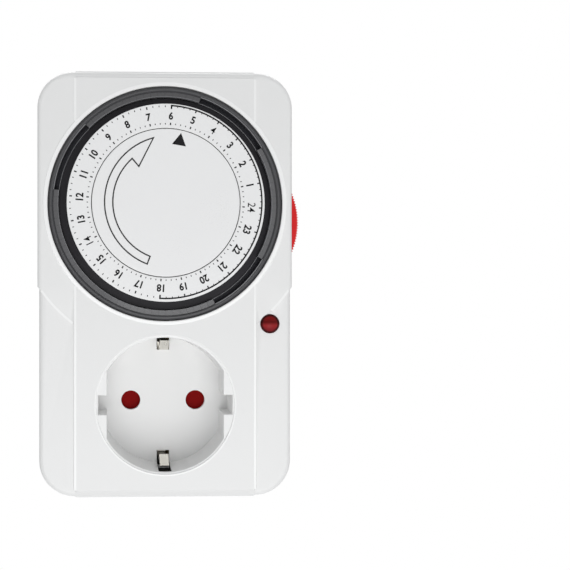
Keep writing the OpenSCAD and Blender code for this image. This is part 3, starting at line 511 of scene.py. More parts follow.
# ---- Movement plate, spindle, washer and clip ----
# A black moulded plate carries the works. The dial turns on a turned steel post riveted into it,
# over a spring-steel friction washer, and a split clip keeps it there.

plate_black = plastic("movement_black", (0.022, 0.022, 0.024), shade=0.2, rough=0.5, bump=0.02)
dress("movement_plate", "works_plate", plate_black, "dial_black", edge=0)
turned_steel = metal("turned_steel", (0.55, 0.55, 0.54), rough=0.22, lines=(0.25, 6.0, 0.25))
spring_steel = metal("spring_steel", (0.42, 0.42, 0.43), rough=0.28, lines=(1.0, 0.2, 1.0))
for node, name, material in (("dial_spindle", "dial_post", turned_steel),
                             ("friction_washer", "friction_ring", spring_steel),
                             ("dial_clip", "spring_clip", spring_steel)):
    dress(node, name, material, "steel", edge=0.08)


# ---- Dial drum ----
# The glossy black drum that turns the dial: a sloped outer rim, and inside it the comb of pockets
# that the segments slide in. Moulded in one piece with its gear. The rim is painted a lighter grey
# than the drum as painted light: it is the same black plastic where it catches the light.

DRUM_BLACK = (0.009, 0.008, 0.012)
RIM_LIT_GREY = (0.067, 0.067, 0.071)
RIM_OUTER, RIM_INNER, RIM_FRONT, RIM_BACK = 33.1, 31.65, 66.2, 63.6
INNER_ROUND = ((0, 0.5), (0.1, 0.38), (0.4, 0.06), (0.55, 0))
OUTER_ROUND = ((0.5, 0.16), (0.18, 0.42), (0.04, 0.62), (0, 0.9))
PLAIN_RIM_FRONT, RIM_OVERLAP = 63.8, 0.1


def turned(name, profile, steps=192, centre=(0, 0)):
    """A ring or a plug turned about an axis that points to the back. The profile goes round a ring's
    section, or from the axis to the axis, as radius and depth in millimetres."""
    solid = bmesh.new()
    rows = []
    for radius, depth in profile:
        turns = [2 * math.pi * i / steps for i in range(steps if radius else 1)]
        rows.append([solid.verts.new(((centre[0] + radius * math.cos(t)) * mm, depth * mm,
                                      (centre[1] + radius * math.sin(t)) * mm)) for t in turns])
    closed = profile[0][0] > 0
    for near, far in zip(rows, rows[1:] + rows[:1] if closed else rows[1:]):
        for i in range(steps):
            j = (i + 1) % steps
            corners = [near[i % len(near)], near[j % len(near)], far[j % len(far)], far[i % len(far)]]
            solid.faces.new(list(dict.fromkeys(corners)))
    return mesh_of(solid, name, smooth=35)


def lower_rim(solid):
    """Take the plain rim back, where the turned one stands in front of it."""
    for corner in solid.verts:
        reach = math.hypot(corner.co.x, corner.co.z)
        if reach > (RIM_INNER - RIM_OVERLAP) * mm:
            corner.co.y = max(corner.co.y, -PLAIN_RIM_FRONT * mm)


dial_black = plastic("dial_black", DRUM_BLACK, shade=0.15, rough=0.30, bump=0.004, Specular_IOR_Level=0.18)
dress("dial_carrier", "dial_drum", dial_black, "dial_black", "dial", edge=0, reshape=lower_rim)
# Painted light: the rim's grey stands in for the light its front catches.
lit_rim_grey = plastic("lit_rim_grey", RIM_LIT_GREY, shade=0.12, rough=0.32, bump=0.004)
rim_profile = [(RIM_INNER, -RIM_BACK), *((RIM_INNER + r, drop - RIM_FRONT) for r, drop in INNER_ROUND),
               *((RIM_OUTER - r, drop - RIM_FRONT) for r, drop in OUTER_ROUND), (RIM_OUTER, -RIM_BACK)]
put(add_piece("drum_rim", turned("drum_rim", rim_profile), lit_rim_grey), "dial")


# ---- Edge beads with painted highlights ----
# Narrow beads round the dial and the outlet, down both sides of the middle band, and along the crease
# below the head. They are painted a lighter white than the satin faces: a painted highlight.

# Painted highlight: a lighter white than the shell for the light the bead and line edges catch.
LIP_HIGHLIGHT_WHITE, LINE_HIGHLIGHT_WHITE = (0.92, 0.92, 0.915), (0.91, 0.91, 0.905)
LIP_OUTER = 34.4
DIAL_LIP = [(33.22, -64.5), (33.22, -66.55), (33.4, -66.72), (34.05, -66.74), (LIP_OUTER, -66.66),
            (LIP_OUTER + 0.1, -66.0), (LIP_OUTER + 0.1, -64.5)]
WELL_LIP = [(19.55, -65.9), (19.55, -66.6), (19.7, -66.74), (20.0, -66.74), (20.15, -66.66), (20.15, -65.9)]
BAND_LINE, BAND_LINE_WIDTH, BAND_LINE_FRONT = 25.42, 0.62, 66.72
LINE_BACK = 65.9
LINE_END = 2.2
CREASE_RADIUS, CREASE_WIDTH, CREASE_FRONT = 42.7, 0.6, 66.37
CREASE_START = 125
CREASE_END = {-1: 142.3, 1: 135.2}
painted_highlight_lip = plastic("painted_highlight_lip", LIP_HIGHLIGHT_WHITE, shade=0.01, rough=0.25, bump=0.0, Coat_Weight=0.2)
painted_highlight_line = plastic("painted_highlight_line", LINE_HIGHLIGHT_WHITE, shade=0.01, rough=0.25, bump=0.0, Coat_Weight=0.2)
for name, profile, centre in (("dial_lip", DIAL_LIP, (0, 0)), ("outlet_lip", WELL_LIP, (0, WELL_Z / mm))):
    put(add_piece(name, turned(name, profile, centre=centre), painted_highlight_lip), "root")
low_end, high_end = case_low.z / mm + LINE_END, case_high.z / mm - LINE_END
at_dial = math.sqrt(LIP_OUTER ** 2 - BAND_LINE ** 2)
lines = bmesh.new()
for side in (-1, 1):
    for ends in ((low_end, -at_dial), (at_dial, high_end)):
        ribbon(lines, [(side * BAND_LINE, end) for end in ends], BAND_LINE_WIDTH, -BAND_LINE_FRONT,
               -LINE_BACK, closed=False)
    crease = arc_points(CREASE_RADIUS, CREASE_START * side, CREASE_END[side] * side)
    ribbon(lines, crease, CREASE_WIDTH, -CREASE_FRONT, -LINE_BACK, closed=False)
put(add_piece("mould_lines", mesh_of(lines, "mould_lines"), painted_highlight_line), "root")


# ---- Segments ----
# Ninety-six dark plastic blades with wedge heads, one for each quarter hour, each free to slide in
# its own pocket. Three runs of them are pushed in. Their grey, lighter than the drum's black, is painted
# light, and the strips at the heads' inner corners and along the rim beside the pushed runs are painted
# highlights.


def named_inputs(tree, *sizes):
    """Give a geometry tree its named inputs and one geometry output."""
    for label, kind, value in sizes:
        socket = tree.interface.new_socket(name=label, in_out="INPUT", socket_type=kind)
        if value is not None:
            socket.default_value = value
    tree.interface.new_socket(name="Geometry", in_out="OUTPUT", socket_type="NodeSocketGeometry")
    return tree.nodes.new("NodeGroupInput").outputs, tree.nodes.new("NodeGroupOutput").inputs["Geometry"]


def build_ring_of_copies():
    """Copies of one shape turned about an axis that points to the back, each a touch uneven."""
    tree = bpy.data.node_groups.new("ring of copies", "GeometryNodeTree")
    given, result = named_inputs(tree, ("Shape", "NodeSocketGeometry", None), ("Count", "NodeSocketInt", 4),
                                 ("Step", "NodeSocketFloat", 0.1), ("Centre", "NodeSocketVector", None),
                                 ("Uneven", "NodeSocketFloat", 0.0), ("Seed", "NodeSocketInt", 1),
                                 ("Material", "NodeSocketMaterial", None))
    nodes, links = tree.nodes, tree.links
    one = nodes.new("GeometryNodeGeometryToInstance")
    links.new(given["Shape"], one.inputs["Geometry"])
    copies = nodes.new("GeometryNodeDuplicateElements")
    copies.domain = "INSTANCE"
    links.new(one.outputs[0], copies.inputs["Geometry"])
    links.new(given["Count"], copies.inputs["Amount"])
    angle = arithmetic(nodes, links)("MULTIPLY", copies.outputs["Duplicate Index"], given["Step"])
    turn = nodes.new("ShaderNodeCombineXYZ")
    links.new(angle, turn.inputs["Y"])
    around = nodes.new("GeometryNodeRotateInstances")
    links.new(copies.outputs["Geometry"], around.inputs["Instances"])
    links.new(turn.outputs[0], around.inputs["Rotation"])
    links.new(given["Centre"], around.inputs["Pivot Point"])
    around.inputs["Local Space"].default_value = False
    play = nodes.new("FunctionNodeRandomValue")
    links.new(given["Uneven"], play.inputs["Max"])
    links.new(given["Seed"], play.inputs["Seed"])
    depth = nodes.new("ShaderNodeCombineXYZ")
    links.new(play.outputs["Value"], depth.inputs["Y"])
    nudge = nodes.new("GeometryNodeTranslateInstances")
    nudge.inputs["Local Space"].default_value = False
    links.new(around.outputs[0], nudge.inputs["Instances"])
    links.new(depth.outputs[0], nudge.inputs["Translation"])
    real = nodes.new("GeometryNodeRealizeInstances")
    links.new(nudge.outputs[0], real.inputs[0])
    paint = nodes.new("GeometryNodeSetMaterial")
    links.new(real.outputs[0], paint.inputs["Geometry"])
    links.new(given["Material"], paint.inputs["Material"])
    links.new(paint.outputs[0], result)
    return tree


ring_of_copies = build_ring_of_copies()


def grown(name, shape, material, slot, **sizes):
    """A plain mesh made by the tree above from one shape and named sizes."""
    piece = bpy.data.objects.new(name, shape)
    bpy.context.scene.collection.objects.link(piece)
    growth = piece.modifiers.new("growth", "NODES")
    growth.node_group = ring_of_copies
    labels = {item.name: item.identifier for item in ring_of_copies.interface.items_tree
              if item.item_type == "SOCKET" and item.in_out == "INPUT"}
    growth[labels["Material"]] = material
    for label, value in sizes.items():
        growth[labels[label]] = value
    mesh = final_mesh(piece)
    mesh.materials.clear()
    mesh.materials.append(material)
    return piece


QUARTER = 3.75
DIAL_TURN = 3.5
HEAD_INNER, HEAD_OUTER = 30.2, 31.62
HEAD_FRONT, HEAD_LENGTH, BLADE_BACK = 66.2, 2.5, 57.05
BLADE_WIDTH = 1.5
HEAD_GAP = 0.03
HEAD_SLOPE = 0.5
# Painted highlights: a lighter strip at each head's inner corner, and one along the rim's inner edge beside
# the pushed runs.
HEAD_HIGHLIGHT, HEAD_HIGHLIGHT_DEPTH = 0.16, 0.1
PUSH = 2.5
UNEVEN = 0.03
RIM_HIGHLIGHT_INSET, RIM_HIGHLIGHT_WIDTH, RIM_HIGHLIGHT_TOP, RIM_HIGHLIGHT_FOOT = 0.12, 0.18, 0.28, 0.6
# First pocket, number of segments, and whether they are pushed in.
SEGMENT_RUNS = ((4, 11, True), (15, 16, False), (31, 9, True), (40, 33, False), (73, 10, True),
                (83, 17, False))


def segment_shape(first, drop, highlight=False):
    """One segment at its place: a slim blade and a wedge head that meets the heads beside it, or only the
    narrow strip at the inner corner of that head, which carries a painted highlight."""
    solid = bmesh.new()
    turn = math.radians(DIAL_TURN + QUARTER * (first + 0.5))

    def prism(corners, near, far):
        rows = []
        for end in (near, far):
            row = []
            for (radius, side), depth in zip(corners, end):
                x = radius * math.sin(turn) + side * math.cos(turn)
                z = radius * math.cos(turn) - side * math.sin(turn)
                row.append(solid.verts.new((x * mm, -(depth - drop) * mm, z * mm)))
            rows.append(row)
        around = ((0, 1), (1, 2), (2, 3), (3, 0))
        sides = [(rows[0][j], rows[0][i], rows[1][i], rows[1][j]) for i, j in around]
        for face in (rows[0], rows[1][::-1], *sides):
            solid.faces.new(face)

    def wedge(inner, outer):
        half_in, half_out = (r * math.sin(math.radians(QUARTER / 2)) - HEAD_GAP / 2 for r in (inner, outer))
        return [(inner, -half_in), (outer, -half_out), (outer, half_out), (inner, half_in)]

    def front(inner_drop, outer_drop):
        return [HEAD_FRONT - fall for fall in (inner_drop, outer_drop, outer_drop, inner_drop)]

    back = (HEAD_FRONT - HEAD_LENGTH,) * 4
    if highlight:
        prism(wedge(HEAD_INNER, HEAD_INNER + HEAD_HIGHLIGHT), front(HEAD_HIGHLIGHT_DEPTH, 0), back)
    else:
        prism(wedge(HEAD_INNER + HEAD_HIGHLIGHT, HEAD_OUTER), front(0, HEAD_SLOPE), back)
        half = BLADE_WIDTH / 2
        blade = [(HEAD_INNER, -half), (HEAD_OUTER, -half), (HEAD_OUTER, half), (HEAD_INNER, half)]
        prism(blade, back, (BLADE_BACK,) * 4)
    return mesh_of(solid, "segment")


# Painted light: the segments are a lighter grey than the drum's black, for the light their heads catch.
segment_grey = plastic("segment_grey", (0.032, 0.032, 0.037), shade=0.12, rough=0.22, bump=0.002,
                       Specular_IOR_Level=0.9)
highlight_edge = plastic("highlight_edge", (0.24, 0.24, 0.25), shade=0.3, rough=0.35, bump=0.004)
for run, (first, count, pushed) in enumerate(SEGMENT_RUNS, 1):
    drop = PUSH if pushed else 0
    body = "segments_%d" % run
    sizes = {"Count": count, "Step": math.radians(QUARTER), "Uneven": UNEVEN * mm, "Seed": run}
    bank = grown(body, segment_shape(first, drop), segment_grey, "segment_grey", **sizes)
    put(bank, body, "segment_bank_%d" % run)
    corners = grown("rubbed_corners_%d" % run, segment_shape(first, drop, highlight=True), highlight_edge,
                    "segment_grey", **sizes)
    put(corners, body)
    if pushed:
        turns = (DIAL_TURN + QUARTER * end for end in (first, first + count))
        # A painted highlight along the rim's inner edge where the pushed segments leave it bare.
        rim_highlight = bmesh.new()
        ribbon(rim_highlight, arc_points(RIM_INNER + RIM_HIGHLIGHT_INSET, *turns), RIM_HIGHLIGHT_WIDTH, RIM_HIGHLIGHT_TOP - RIM_FRONT,
               RIM_HIGHLIGHT_FOOT - RIM_FRONT, closed=False)
        edge_piece = add_piece("bare_rim_%d" % run, mesh_of(rim_highlight, "rim_highlight_strip"), highlight_edge)
        put(edge_piece, "dial")


# ---- Number ring ----
# The white ring snapped on the drum, with a thin printed label: the hours, a tick each quarter of
# an hour at both edges, and a heavy arc from six over midnight to eighteen.

dial_white = plastic("dial_white", (0.83, 0.83, 0.83), shade=0.015, rough=0.3, bump=0.003,
                     Coat_Weight=0.2, Coat_Roughness=0.2)
FACE = 70.97
PRINT_FRONT = 71.0


def lower_face(solid):
    """Set the face back by the thickness of the print."""
    for corner in solid.verts:
        if corner.co.y < SAME_PLACE - PRINT_FRONT * mm:
            corner.co.y = -FACE * mm


dress("dial_scale", "number_ring", dial_white, "dial_white", "dial", edge=0.2, segments=3, reshape=lower_face)

ink = plastic("dial_ink", (0.008, 0.008, 0.009), shade=0.1, rough=0.5, bump=0.002, Specular_IOR_Level=0.12)
# The print's own centre, a touch off the ring's.
LABEL = (-0.08, 0.2)
HOUR = 15.0
SIX_AT = 3.5
HOUR_TICKS = ((26.2, 26.95, 0.36), (21.5, 22.2, 0.34))
QUARTER_TICKS = ((26.5, 26.95, 0.22), (21.65, 22.05, 0.22))
DIGIT_RADIUS, DIGIT_HEIGHT, DIGIT_NARROWING = 24.1, 2.15, 0.9
# Swelling of the strokes; a four takes less, or its eye closes.
DIGIT_WEIGHT, FOUR_WEIGHT = 0.033, 0.002


def plate_solid(outlines, low, high):
    """Closed flat plates between two depths; the outlines are in millimetres, right and up."""
    solid = bmesh.new()
    for outline in outlines:
        area = sum(a[0] * b[1] - b[0] * a[1] for a, b in zip(outline, outline[1:] + outline[:1]))
        if area < 0:
            outline = outline[::-1]
        front, back = ([solid.verts.new((x * mm, y * mm, z * mm)) for x, z in outline] for y in (low, high))
        solid.faces.new(front)
        solid.faces.new(back[::-1])
        for i in range(len(front)):
            j = (i + 1) % len(front)
            solid.faces.new((front[j], front[i], back[i], back[j]))
    return solid


def bar_outline(turn, inner, outer, width):
    """A short radial bar at a clock direction in degrees."""
    t = math.radians(turn)
    along, side = (math.sin(t), math.cos(t)), (math.cos(t), -math.sin(t))
    return [(LABEL[0] + r * along[0] + s * side[0], LABEL[1] + r * along[1] + s * side[1])
            for r, s in ((inner, -width / 2), (inner, width / 2), (outer, width / 2), (outer, -width / 2))]


hour_ticks = [bar_outline(SIX_AT, *tick) for tick in HOUR_TICKS]
for quarter in (1, 2, 3):
    hour_ticks += [bar_outline(SIX_AT + quarter * QUARTER, *tick) for tick in QUARTER_TICKS]
tick_shape = mesh_of(plate_solid(hour_ticks, -PRINT_FRONT, -FACE), "hour_ticks")
ticks = grown("label_ticks", tick_shape, ink, "dial_black", Count=24, Step=math.radians(HOUR),
              Centre=(LABEL[0] * mm, 0, LABEL[1] * mm))
put(ticks, "dial")


def printed_text(word, height, thick, weight):
    """Closed digits in the plain built-in face, centred, facing the front."""
    half_depth = 0.5
    curve = bpy.data.curves.new("print", "FONT")
    curve.body = word
    curve.extrude = half_depth
    curve.offset = weight
    curve.resolution_u = 4
    holder = bpy.data.objects.new("print", curve)
    bpy.context.scene.collection.objects.link(holder)
    bpy.context.view_layer.update()
    mesh = bpy.data.meshes.new_from_object(holder.evaluated_get(bpy.context.evaluated_depsgraph_get()))
    bpy.data.objects.remove(holder)
    solid = bmesh.new()
    solid.from_mesh(mesh)
    bpy.data.meshes.remove(mesh)
    bmesh.ops.remove_doubles(solid, verts=solid.verts, dist=1e-5)
    low = Vector([min(v.co[i] for v in solid.verts) for i in range(3)])
    high = Vector([max(v.co[i] for v in solid.verts) for i in range(3)])
    size = height * mm / (high.y - low.y)
    for v in solid.verts:
        across = (v.co.x - (low.x + high.x) / 2) * size * DIGIT_NARROWING
        up = (v.co.y - (low.y + high.y) / 2) * size
        v.co = Vector((across, -(v.co.z + half_depth) * thick * mm, up))
    return solid


numbers = bmesh.new()
for hour in range(1, 25):
    turn = (SIX_AT + (6 - hour) * HOUR) % 360
    weight = FOUR_WEIGHT if "4" in str(hour) else DIGIT_WEIGHT
    word = printed_text(str(hour), DIGIT_HEIGHT, PRINT_FRONT - FACE, weight)
    t = math.radians(turn)
    move = Matrix.Translation(((LABEL[0] + DIGIT_RADIUS * math.sin(t)) * mm, -FACE * mm,
                               (LABEL[1] + DIGIT_RADIUS * math.cos(t)) * mm)) @ Matrix.Rotation(t, 4, "Y")
    word.transform(move)
    loose = bpy.data.meshes.new("word")
    word.to_mesh(loose)
    word.free()
    numbers.from_mesh(loose)
    bpy.data.meshes.remove(loose)
put(add_piece("label_numbers", mesh_of(numbers, "label_numbers"), ink), "dial")

ARC_RADIUS, ARC_END, ARC_LINE = 26.98, 26.0, 0.42
arc_line = arc_points(ARC_RADIUS, SIX_AT, SIX_AT + 180, LABEL, step=2.5)
for turn, place in ((SIX_AT, 0), (SIX_AT + 180, len(arc_line) + 1)):
    arc_line.insert(place, arc_points(ARC_END, turn, turn, LABEL)[0])
arc_ribbon = bmesh.new()
ribbon(arc_ribbon, arc_line, ARC_LINE, -PRINT_FRONT, -FACE, closed=False)
put(add_piece("label_arc", mesh_of(arc_ribbon, "label_arc"), ink), "dial")


# ---- Centre disc ----
# The white disc pressed on the post. It stays still while the ring turns round it, and carries the
# printed arrow for the way of turning and the solid triangle that marks the time.

dress("centre_cap", "centre_disc", dial_white, "dial_white", edge=0.15, reshape=lower_face)
ARROW_CENTRE = (1.45, 0.2)
ARROW_OUTER, ARROW_INNER, ARROW_LINE = 18.6, 16.3, 0.38
TAIL_OUT, TAIL_IN = (-5.26, -17.1), (-4.51, -15.17)
TIP, BARB, NOTCH = (-3.51, 18.2), (-7.59, 10.1), (-9.43, 12.3)
TRIANGLE = [(4.22, 19.5), (5.55, 15.75), (1.68, 16.4)]


def direction(point):
    """Clock direction of a point about the arrow's centre, in degrees."""
    return math.degrees(math.atan2(point[0] - ARROW_CENTRE[0], point[1] - ARROW_CENTRE[1])) % 360


arrow_path = arc_points(ARROW_OUTER, direction(TAIL_OUT), direction(TIP), ARROW_CENTRE, step=4)
arrow_path += [BARB]
arrow_path += arc_points(ARROW_INNER, direction(NOTCH), direction(TAIL_IN), ARROW_CENTRE, step=4)
arrow_grey = plastic("arrow_ink", (0.022, 0.022, 0.023), shade=0.1, rough=0.45, bump=0.002,
                     Specular_IOR_Level=0.2)
arrow_ribbon = bmesh.new()
ribbon(arrow_ribbon, arrow_path, ARROW_LINE, -PRINT_FRONT, -FACE)
put(add_piece("turn_arrow", mesh_of(arrow_ribbon, "turn_arrow"), arrow_grey), "root")
marker = mesh_of(plate_solid([TRIANGLE], -PRINT_FRONT, -FACE), "time_marker")
put(add_piece("time_marker", marker, ink), "root")


# ---- Red switch ----
# The knurled thumb rocker of red plastic that turns the outlet on by hand. It swings on a shouldered
# steel pin, and a bent spring leaf holds it in either place.

red_plastic = plastic("red_plastic", (0.72, 0.018, 0.020), shade=0.06, rough=0.42, bump=0.006,
                      Specular_IOR_Level=0.15)
dress("side_switch", "thumb_rocker", red_plastic, "red_plastic", "thumb_switch", edge=0.06)
for node, name, material in (("switch_pivot", "rocker_pin", turned_steel),
                             ("switch_detent", "rocker_leaf", spring_steel)):
    dress(node, name, material, "steel", edge=0.08)


# ---- Trip lever and microswitch ----
# A cream acetal lever carries the push of the segments and of the red switch to a small black snap
# switch: moulded body, red plunger, two brass blades and a return spring.

acetal = plastic("gear_acetal", (0.68, 0.64, 0.55), shade=0.04, rough=0.36, bump=0.006,
                 Subsurface_Weight=0.05, Subsurface_Scale=0.002)
dress("trip_lever", "trip_lever_arm", acetal, "gear_plastic", "lever", edge=0)
dress("trip_pivot", "lever_pin", turned_steel, "steel", edge=0.1)
snap_body = plastic("snap_switch_black", (0.02, 0.02, 0.022), shade=0.25, rough=0.42, bump=0.02)
dress("microswitch_body", "snap_switch", snap_body, "dial_black", edge=0.25)
dress("microswitch_plunger", "snap_plunger", red_plastic, "red_plastic", "plunger", edge=0.25)
brass = metal("drawn_brass", (0.72, 0.50, 0.20), rough=0.24, lines=(1.0, 1.0, 0.15), stain=0.2)
dress("microswitch_blades", "snap_blades", brass, "brass", edge=0.1)


# ---- Motor ----
# A small synchronous motor: a drawn steel can with a lid and two ears, a ring of copper winding,
# a magnet rotor on its shaft, and a cut brass pinion.

can_steel = metal("drawn_can", (0.50, 0.50, 0.48), rough=0.36, lines=(1.0, 0.15, 1.0), stain=0.2)
magnet = metal("magnet_grey", (0.14, 0.14, 0.15), rough=0.45, stain=0.3)
dress("motor_lid", "motor_flange", can_steel, "steel", edge=0.12)
dress("motor_can", "motor_cup", can_steel, "steel", edge=0.35, segments=3)
dress("motor_rotor", "rotor_magnet", magnet, "steel", "rotor", edge=0.15)
dress("motor_pinion", "brass_pinion", brass, "brass", "rotor", edge=0.05)
copper = metal("enamelled_copper", (0.62, 0.23, 0.09), rough=0.28, lines=(1.0, 5.0, 1.0), stain=0.15,
               Coat_Weight=0.4, Coat_Roughness=0.1)
dress("motor_coil", "copper_winding", copper, "copper", edge=0.3)


# ---- Idler ----
# The wheel and pinion that gear the motor down to the dial, moulded as one in acetal. They turn
# freely on a headed steel axle.

dress("idler_gear", "idler_wheel", acetal, "gear_plastic", "idler", edge=0.06)
dress("idler_axle", "idler_pin", turned_steel, "steel", edge=0.1)


# ---- Lamp ----
# A small domed window of clear red plastic in the front wall, with a neon bulb behind it and the
# resistor that the bulb needs.

LAMP_CENTRE = (29.7, -34.0)
LAMP_RADIUS, LAMP_EDGE, LAMP_TOP, LAMP_BACK, LAMP_BORE = 2.65, 66.2, 67.3, 58.1, 2.05
LAMP_CROWN = (LAMP_RADIUS ** 2 + (LAMP_TOP - LAMP_EDGE) ** 2) / (2 * (LAMP_TOP - LAMP_EDGE))
COLLAR_RADIUS, COLLAR_FRONT, COLLAR_BACK, HOLLOW_FRONT = 3.25, 63.6, 62.6, 65.0
CROWN_STEPS = 12
# Painted light on the window: its colour by height above its middle, lighter below the middle as if lit
# from below inside, and a painted shade that darkens it by distance from the middle towards the rim.
PAINTED_LIGHT_BY_HEIGHT = ((-1.6, (0.20, 0.012, 0.016)), (-0.5, (0.31, 0.022, 0.024)), (0.5, (0.11, 0.003, 0.003)),
                (1.6, (0.20, 0.008, 0.008)))
PAINTED_RIM_SHADE = ((1.9, (1, 1, 1)), (2.25, (0.22, 0.22, 0.22)), (2.65, (0.30, 0.30, 0.30)))


def colour_ramp(nodes, links, source, stops):
    """A colour that follows a length in millimetres through the stops."""
    span = nodes.new("ShaderNodeMapRange")
    first, last = stops[0][0], stops[-1][0]
    span.inputs["From Min"].default_value = first
    span.inputs["From Max"].default_value = last
    ramp = nodes.new("ShaderNodeValToRGB")
    while len(ramp.color_ramp.elements) < len(stops):
        ramp.color_ramp.elements.new(0.5)
    for element, (at, colour) in zip(ramp.color_ramp.elements, stops):
        element.position = (at - first) / (last - first)
        element.color = (*colour, 1)
    links.new(source, span.inputs["Value"])
    links.new(span.outputs["Result"], ramp.inputs["Fac"])
    return ramp.outputs["Color"]


def tinted_window():
    """Clear red plastic: a painted shade darkens the rim, and the lower half is painted lighter as if lit
    from below inside.
    """
    material = plastic("lamp_red", (0.25, 0.010, 0.014), shade=0.08, rough=0.3, bump=0.0,
                       Specular_IOR_Level=0.08)
    nodes, links = material.node_tree.nodes, material.node_tree.links
    surface = next(node for node in nodes if node.type == "GROUP")
    work_out = arithmetic(nodes, links, "ShaderNodeVectorMath")
    place = nodes.new("ShaderNodeTexCoord").outputs["Object"]
    centred = work_out("SUBTRACT", place, (LAMP_CENTRE[0] * mm, 0, LAMP_CENTRE[1] * mm))
    flat = work_out("MULTIPLY", centred, (1 / mm, 0, 1 / mm))
    reach = nodes.new("ShaderNodeVectorMath")
    reach.operation = "LENGTH"
    links.new(flat, reach.inputs[0])
    apart = nodes.new("ShaderNodeSeparateXYZ")
    links.new(flat, apart.inputs[0])
    # Painted light: the colour by height, times a painted shade towards the rim.
    tone = colour_ramp(nodes, links, apart.outputs["Z"], PAINTED_LIGHT_BY_HEIGHT)
    shade = colour_ramp(nodes, links, reach.outputs["Value"], PAINTED_RIM_SHADE)
    links.new(work_out("MULTIPLY", tone, shade), surface.inputs["Colour"])
    return material


def crown(reach):
    """Depth of the domed face at a distance from its middle."""
    return LAMP_CROWN - LAMP_TOP - math.sqrt(LAMP_CROWN ** 2 - reach ** 2)


lens_profile = [(0, -LAMP_TOP)]
lens_profile += [(reach, crown(reach)) for reach in
                 (LAMP_RADIUS * step / CROWN_STEPS for step in range(1, CROWN_STEPS + 1))]
lens_profile += [(LAMP_RADIUS, -COLLAR_FRONT), (COLLAR_RADIUS, -COLLAR_FRONT), (COLLAR_RADIUS, -COLLAR_BACK),
                 (LAMP_RADIUS, -COLLAR_BACK), (LAMP_RADIUS, -LAMP_BACK), (LAMP_BORE, -LAMP_BACK),
                 (LAMP_BORE, -HOLLOW_FRONT), (0, -HOLLOW_FRONT)]
window = turned("lamp_window", lens_profile, steps=96, centre=LAMP_CENTRE)
put(add_piece("lamp_window", window, tinted_window()), "root", "lamp_lens")
bulb_glass = plastic("bulb_glass", (0.80, 0.72, 0.66), shade=0.02, rough=0.06, bump=0.0,
                     Transmission_Weight=0.8, IOR=1.47)
dress("neon_bulb", "neon_glass", bulb_glass, "glass", edge=0.1)
lacquer = plastic("resistor_lacquer", (0.55, 0.42, 0.25), shade=0.08, rough=0.3, bump=0.01)
dress("lamp_resistor", "film_resistor", lacquer, "resistor", edge=0)


# ---- Shutter ----
# The red slide that covers both pin holes, its cream guide behind the well floor, and the spring
# that lifts it again.

shutter_red = plastic("shutter_red", (0.245, 0.004, 0.004), shade=0.06, rough=0.45, bump=0.006,
                      Specular_IOR_Level=0.03)
dress("shutter", "child_shutter", shutter_red, "red_plastic", "shutter", edge=0.2)
dress("shutter_guide", "slide_guide", acetal, "gear_plastic", edge=0)
# The fixed end is 0 for the lower one and 1 for the upper one.
for node, name, joint, travel, fixed_end in (("shutter_spring", "slide_spring", "shutter_slide", 6.5, 0),
                                             ("plunger_spring", "snap_spring", "plunger_press", 0.7, 1)):
    spring = dress(node, name, spring_steel, "steel", edge=0)
    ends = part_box(node)
    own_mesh(spring)


# ---- Contacts, clips and bars ----
# Pressed brass strip throughout: split sleeves that grip the pins, flat bars that join plug, switch
# and outlet. The earth clips are sprung and nickel plated, in slots backed by thin black sheets of painted
# shade.

dull_brass = metal("dull_brass", (0.20, 0.15, 0.08), rough=0.5, lines=(1.0, 1.0, 0.15), stain=0.3)
nickel = metal("bright_nickel", (0.90, 0.875, 0.81), rough=0.3, lines=(4.0, 0.4, 0.4), stain=0.08)
sleeve_brass = metal("sleeve_brass", (0.40, 0.28, 0.115), rough=0.36, lines=(1.0, 0.15, 1.0), stain=0.25)
for node, name in (("socket_contact_left", "sleeve_left"), ("socket_contact_right", "sleeve_right")):
    dress(node, name, sleeve_brass, "brass", edge=0.1)
for node, name in (("live_bar", "bar_live"), ("switched_bar", "bar_switched"),
                   ("neutral_bar", "bar_neutral")):
    dress(node, name, brass, "brass", edge=0.1)
dress("earth_bar", "bar_earth", dull_brass, "brass", edge=0.1)
dress("socket_earth_clips", "earth_springs", nickel, "nickel", edge=0.12, segments=3)

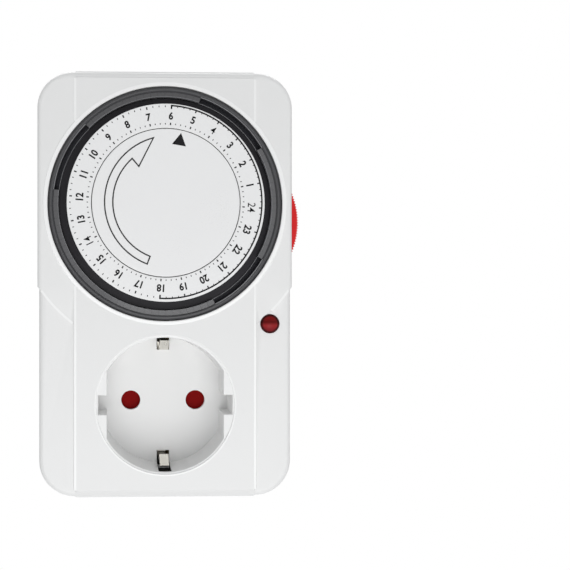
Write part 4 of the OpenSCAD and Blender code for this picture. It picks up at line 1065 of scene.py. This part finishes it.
# Painted shade: thin black sheets inside the top and bottom slots, where the slots lie in shade.
SLOT_HALF, SLOT_INNER, SLOT_OUTER = 1.84, 19.15, 20.09
SLOT_FRONT, SLOT_BACK = 64.98, 48.6
SLOT_SKIN = 0.05
slot_shade_black = plastic("slot_shade_black", (0.006, 0.006, 0.006), shade=0.1, rough=0.6, bump=0.0,
                     Specular_IOR_Level=0.1)
shade_sheet = bmesh.new()
for side in (-1, 1):
    z_in, z_out = (WELL_Z / mm + side * r for r in (SLOT_INNER, SLOT_OUTER))
    walls = [(-SLOT_HALF, z_in), (-SLOT_HALF, z_out), (SLOT_HALF, z_out), (SLOT_HALF, z_in)]
    ribbon(shade_sheet, walls, SLOT_SKIN, -SLOT_FRONT, -SLOT_BACK, closed=False)
put(add_piece("slot_shade_sheets", mesh_of(shade_sheet, "slot_shade_sheets"), slot_shade_black), "root")


# ---- Plug pins, carrier and earth strips ----
# Solid round pins of nickel-plated brass, riveted in a moulded carrier inside the nose, and two
# bent strips that lie in channels at its top and bottom.

pin_nickel = metal("pin_nickel", (0.62, 0.60, 0.56), rough=0.12, lines=(0.3, 5.0, 0.3), stain=0.08)
for node, name in (("plug_pin_left", "pin_left"), ("plug_pin_right", "pin_right")):
    dress(node, name, pin_nickel, "nickel", edge=0.15)
strip_nickel = metal("strip_nickel", (0.34, 0.33, 0.305), rough=0.55, lines=(6.0, 0.15, 6.0), stain=0.2,
                     bump=0.02)
dress("plug_earth_strips", "earth_strips", strip_nickel, "nickel", edge=0.1)
dress("pin_carrier", "carrier_block", acetal, "gear_plastic", edge=0)


# ---- Leads ----
# Thin copper wire in soft sleeving with soldered ends: a blue pair from the live and neutral bars to
# the motor, and a brown pair from the bars to the lamp and its resistor.

for node, name, sleeve, colour in (("motor_leads", "leads_motor", "lead_blue", (0.05, 0.12, 0.36)),
                                   ("lamp_leads", "leads_lamp", "lead_brown", (0.16, 0.06, 0.03))):
    sleeving = plastic(sleeve, colour, shade=0.05, rough=0.42, bump=0.01)
    dress(node, name, sleeving, "lead", edge=0.02, sharp=70)
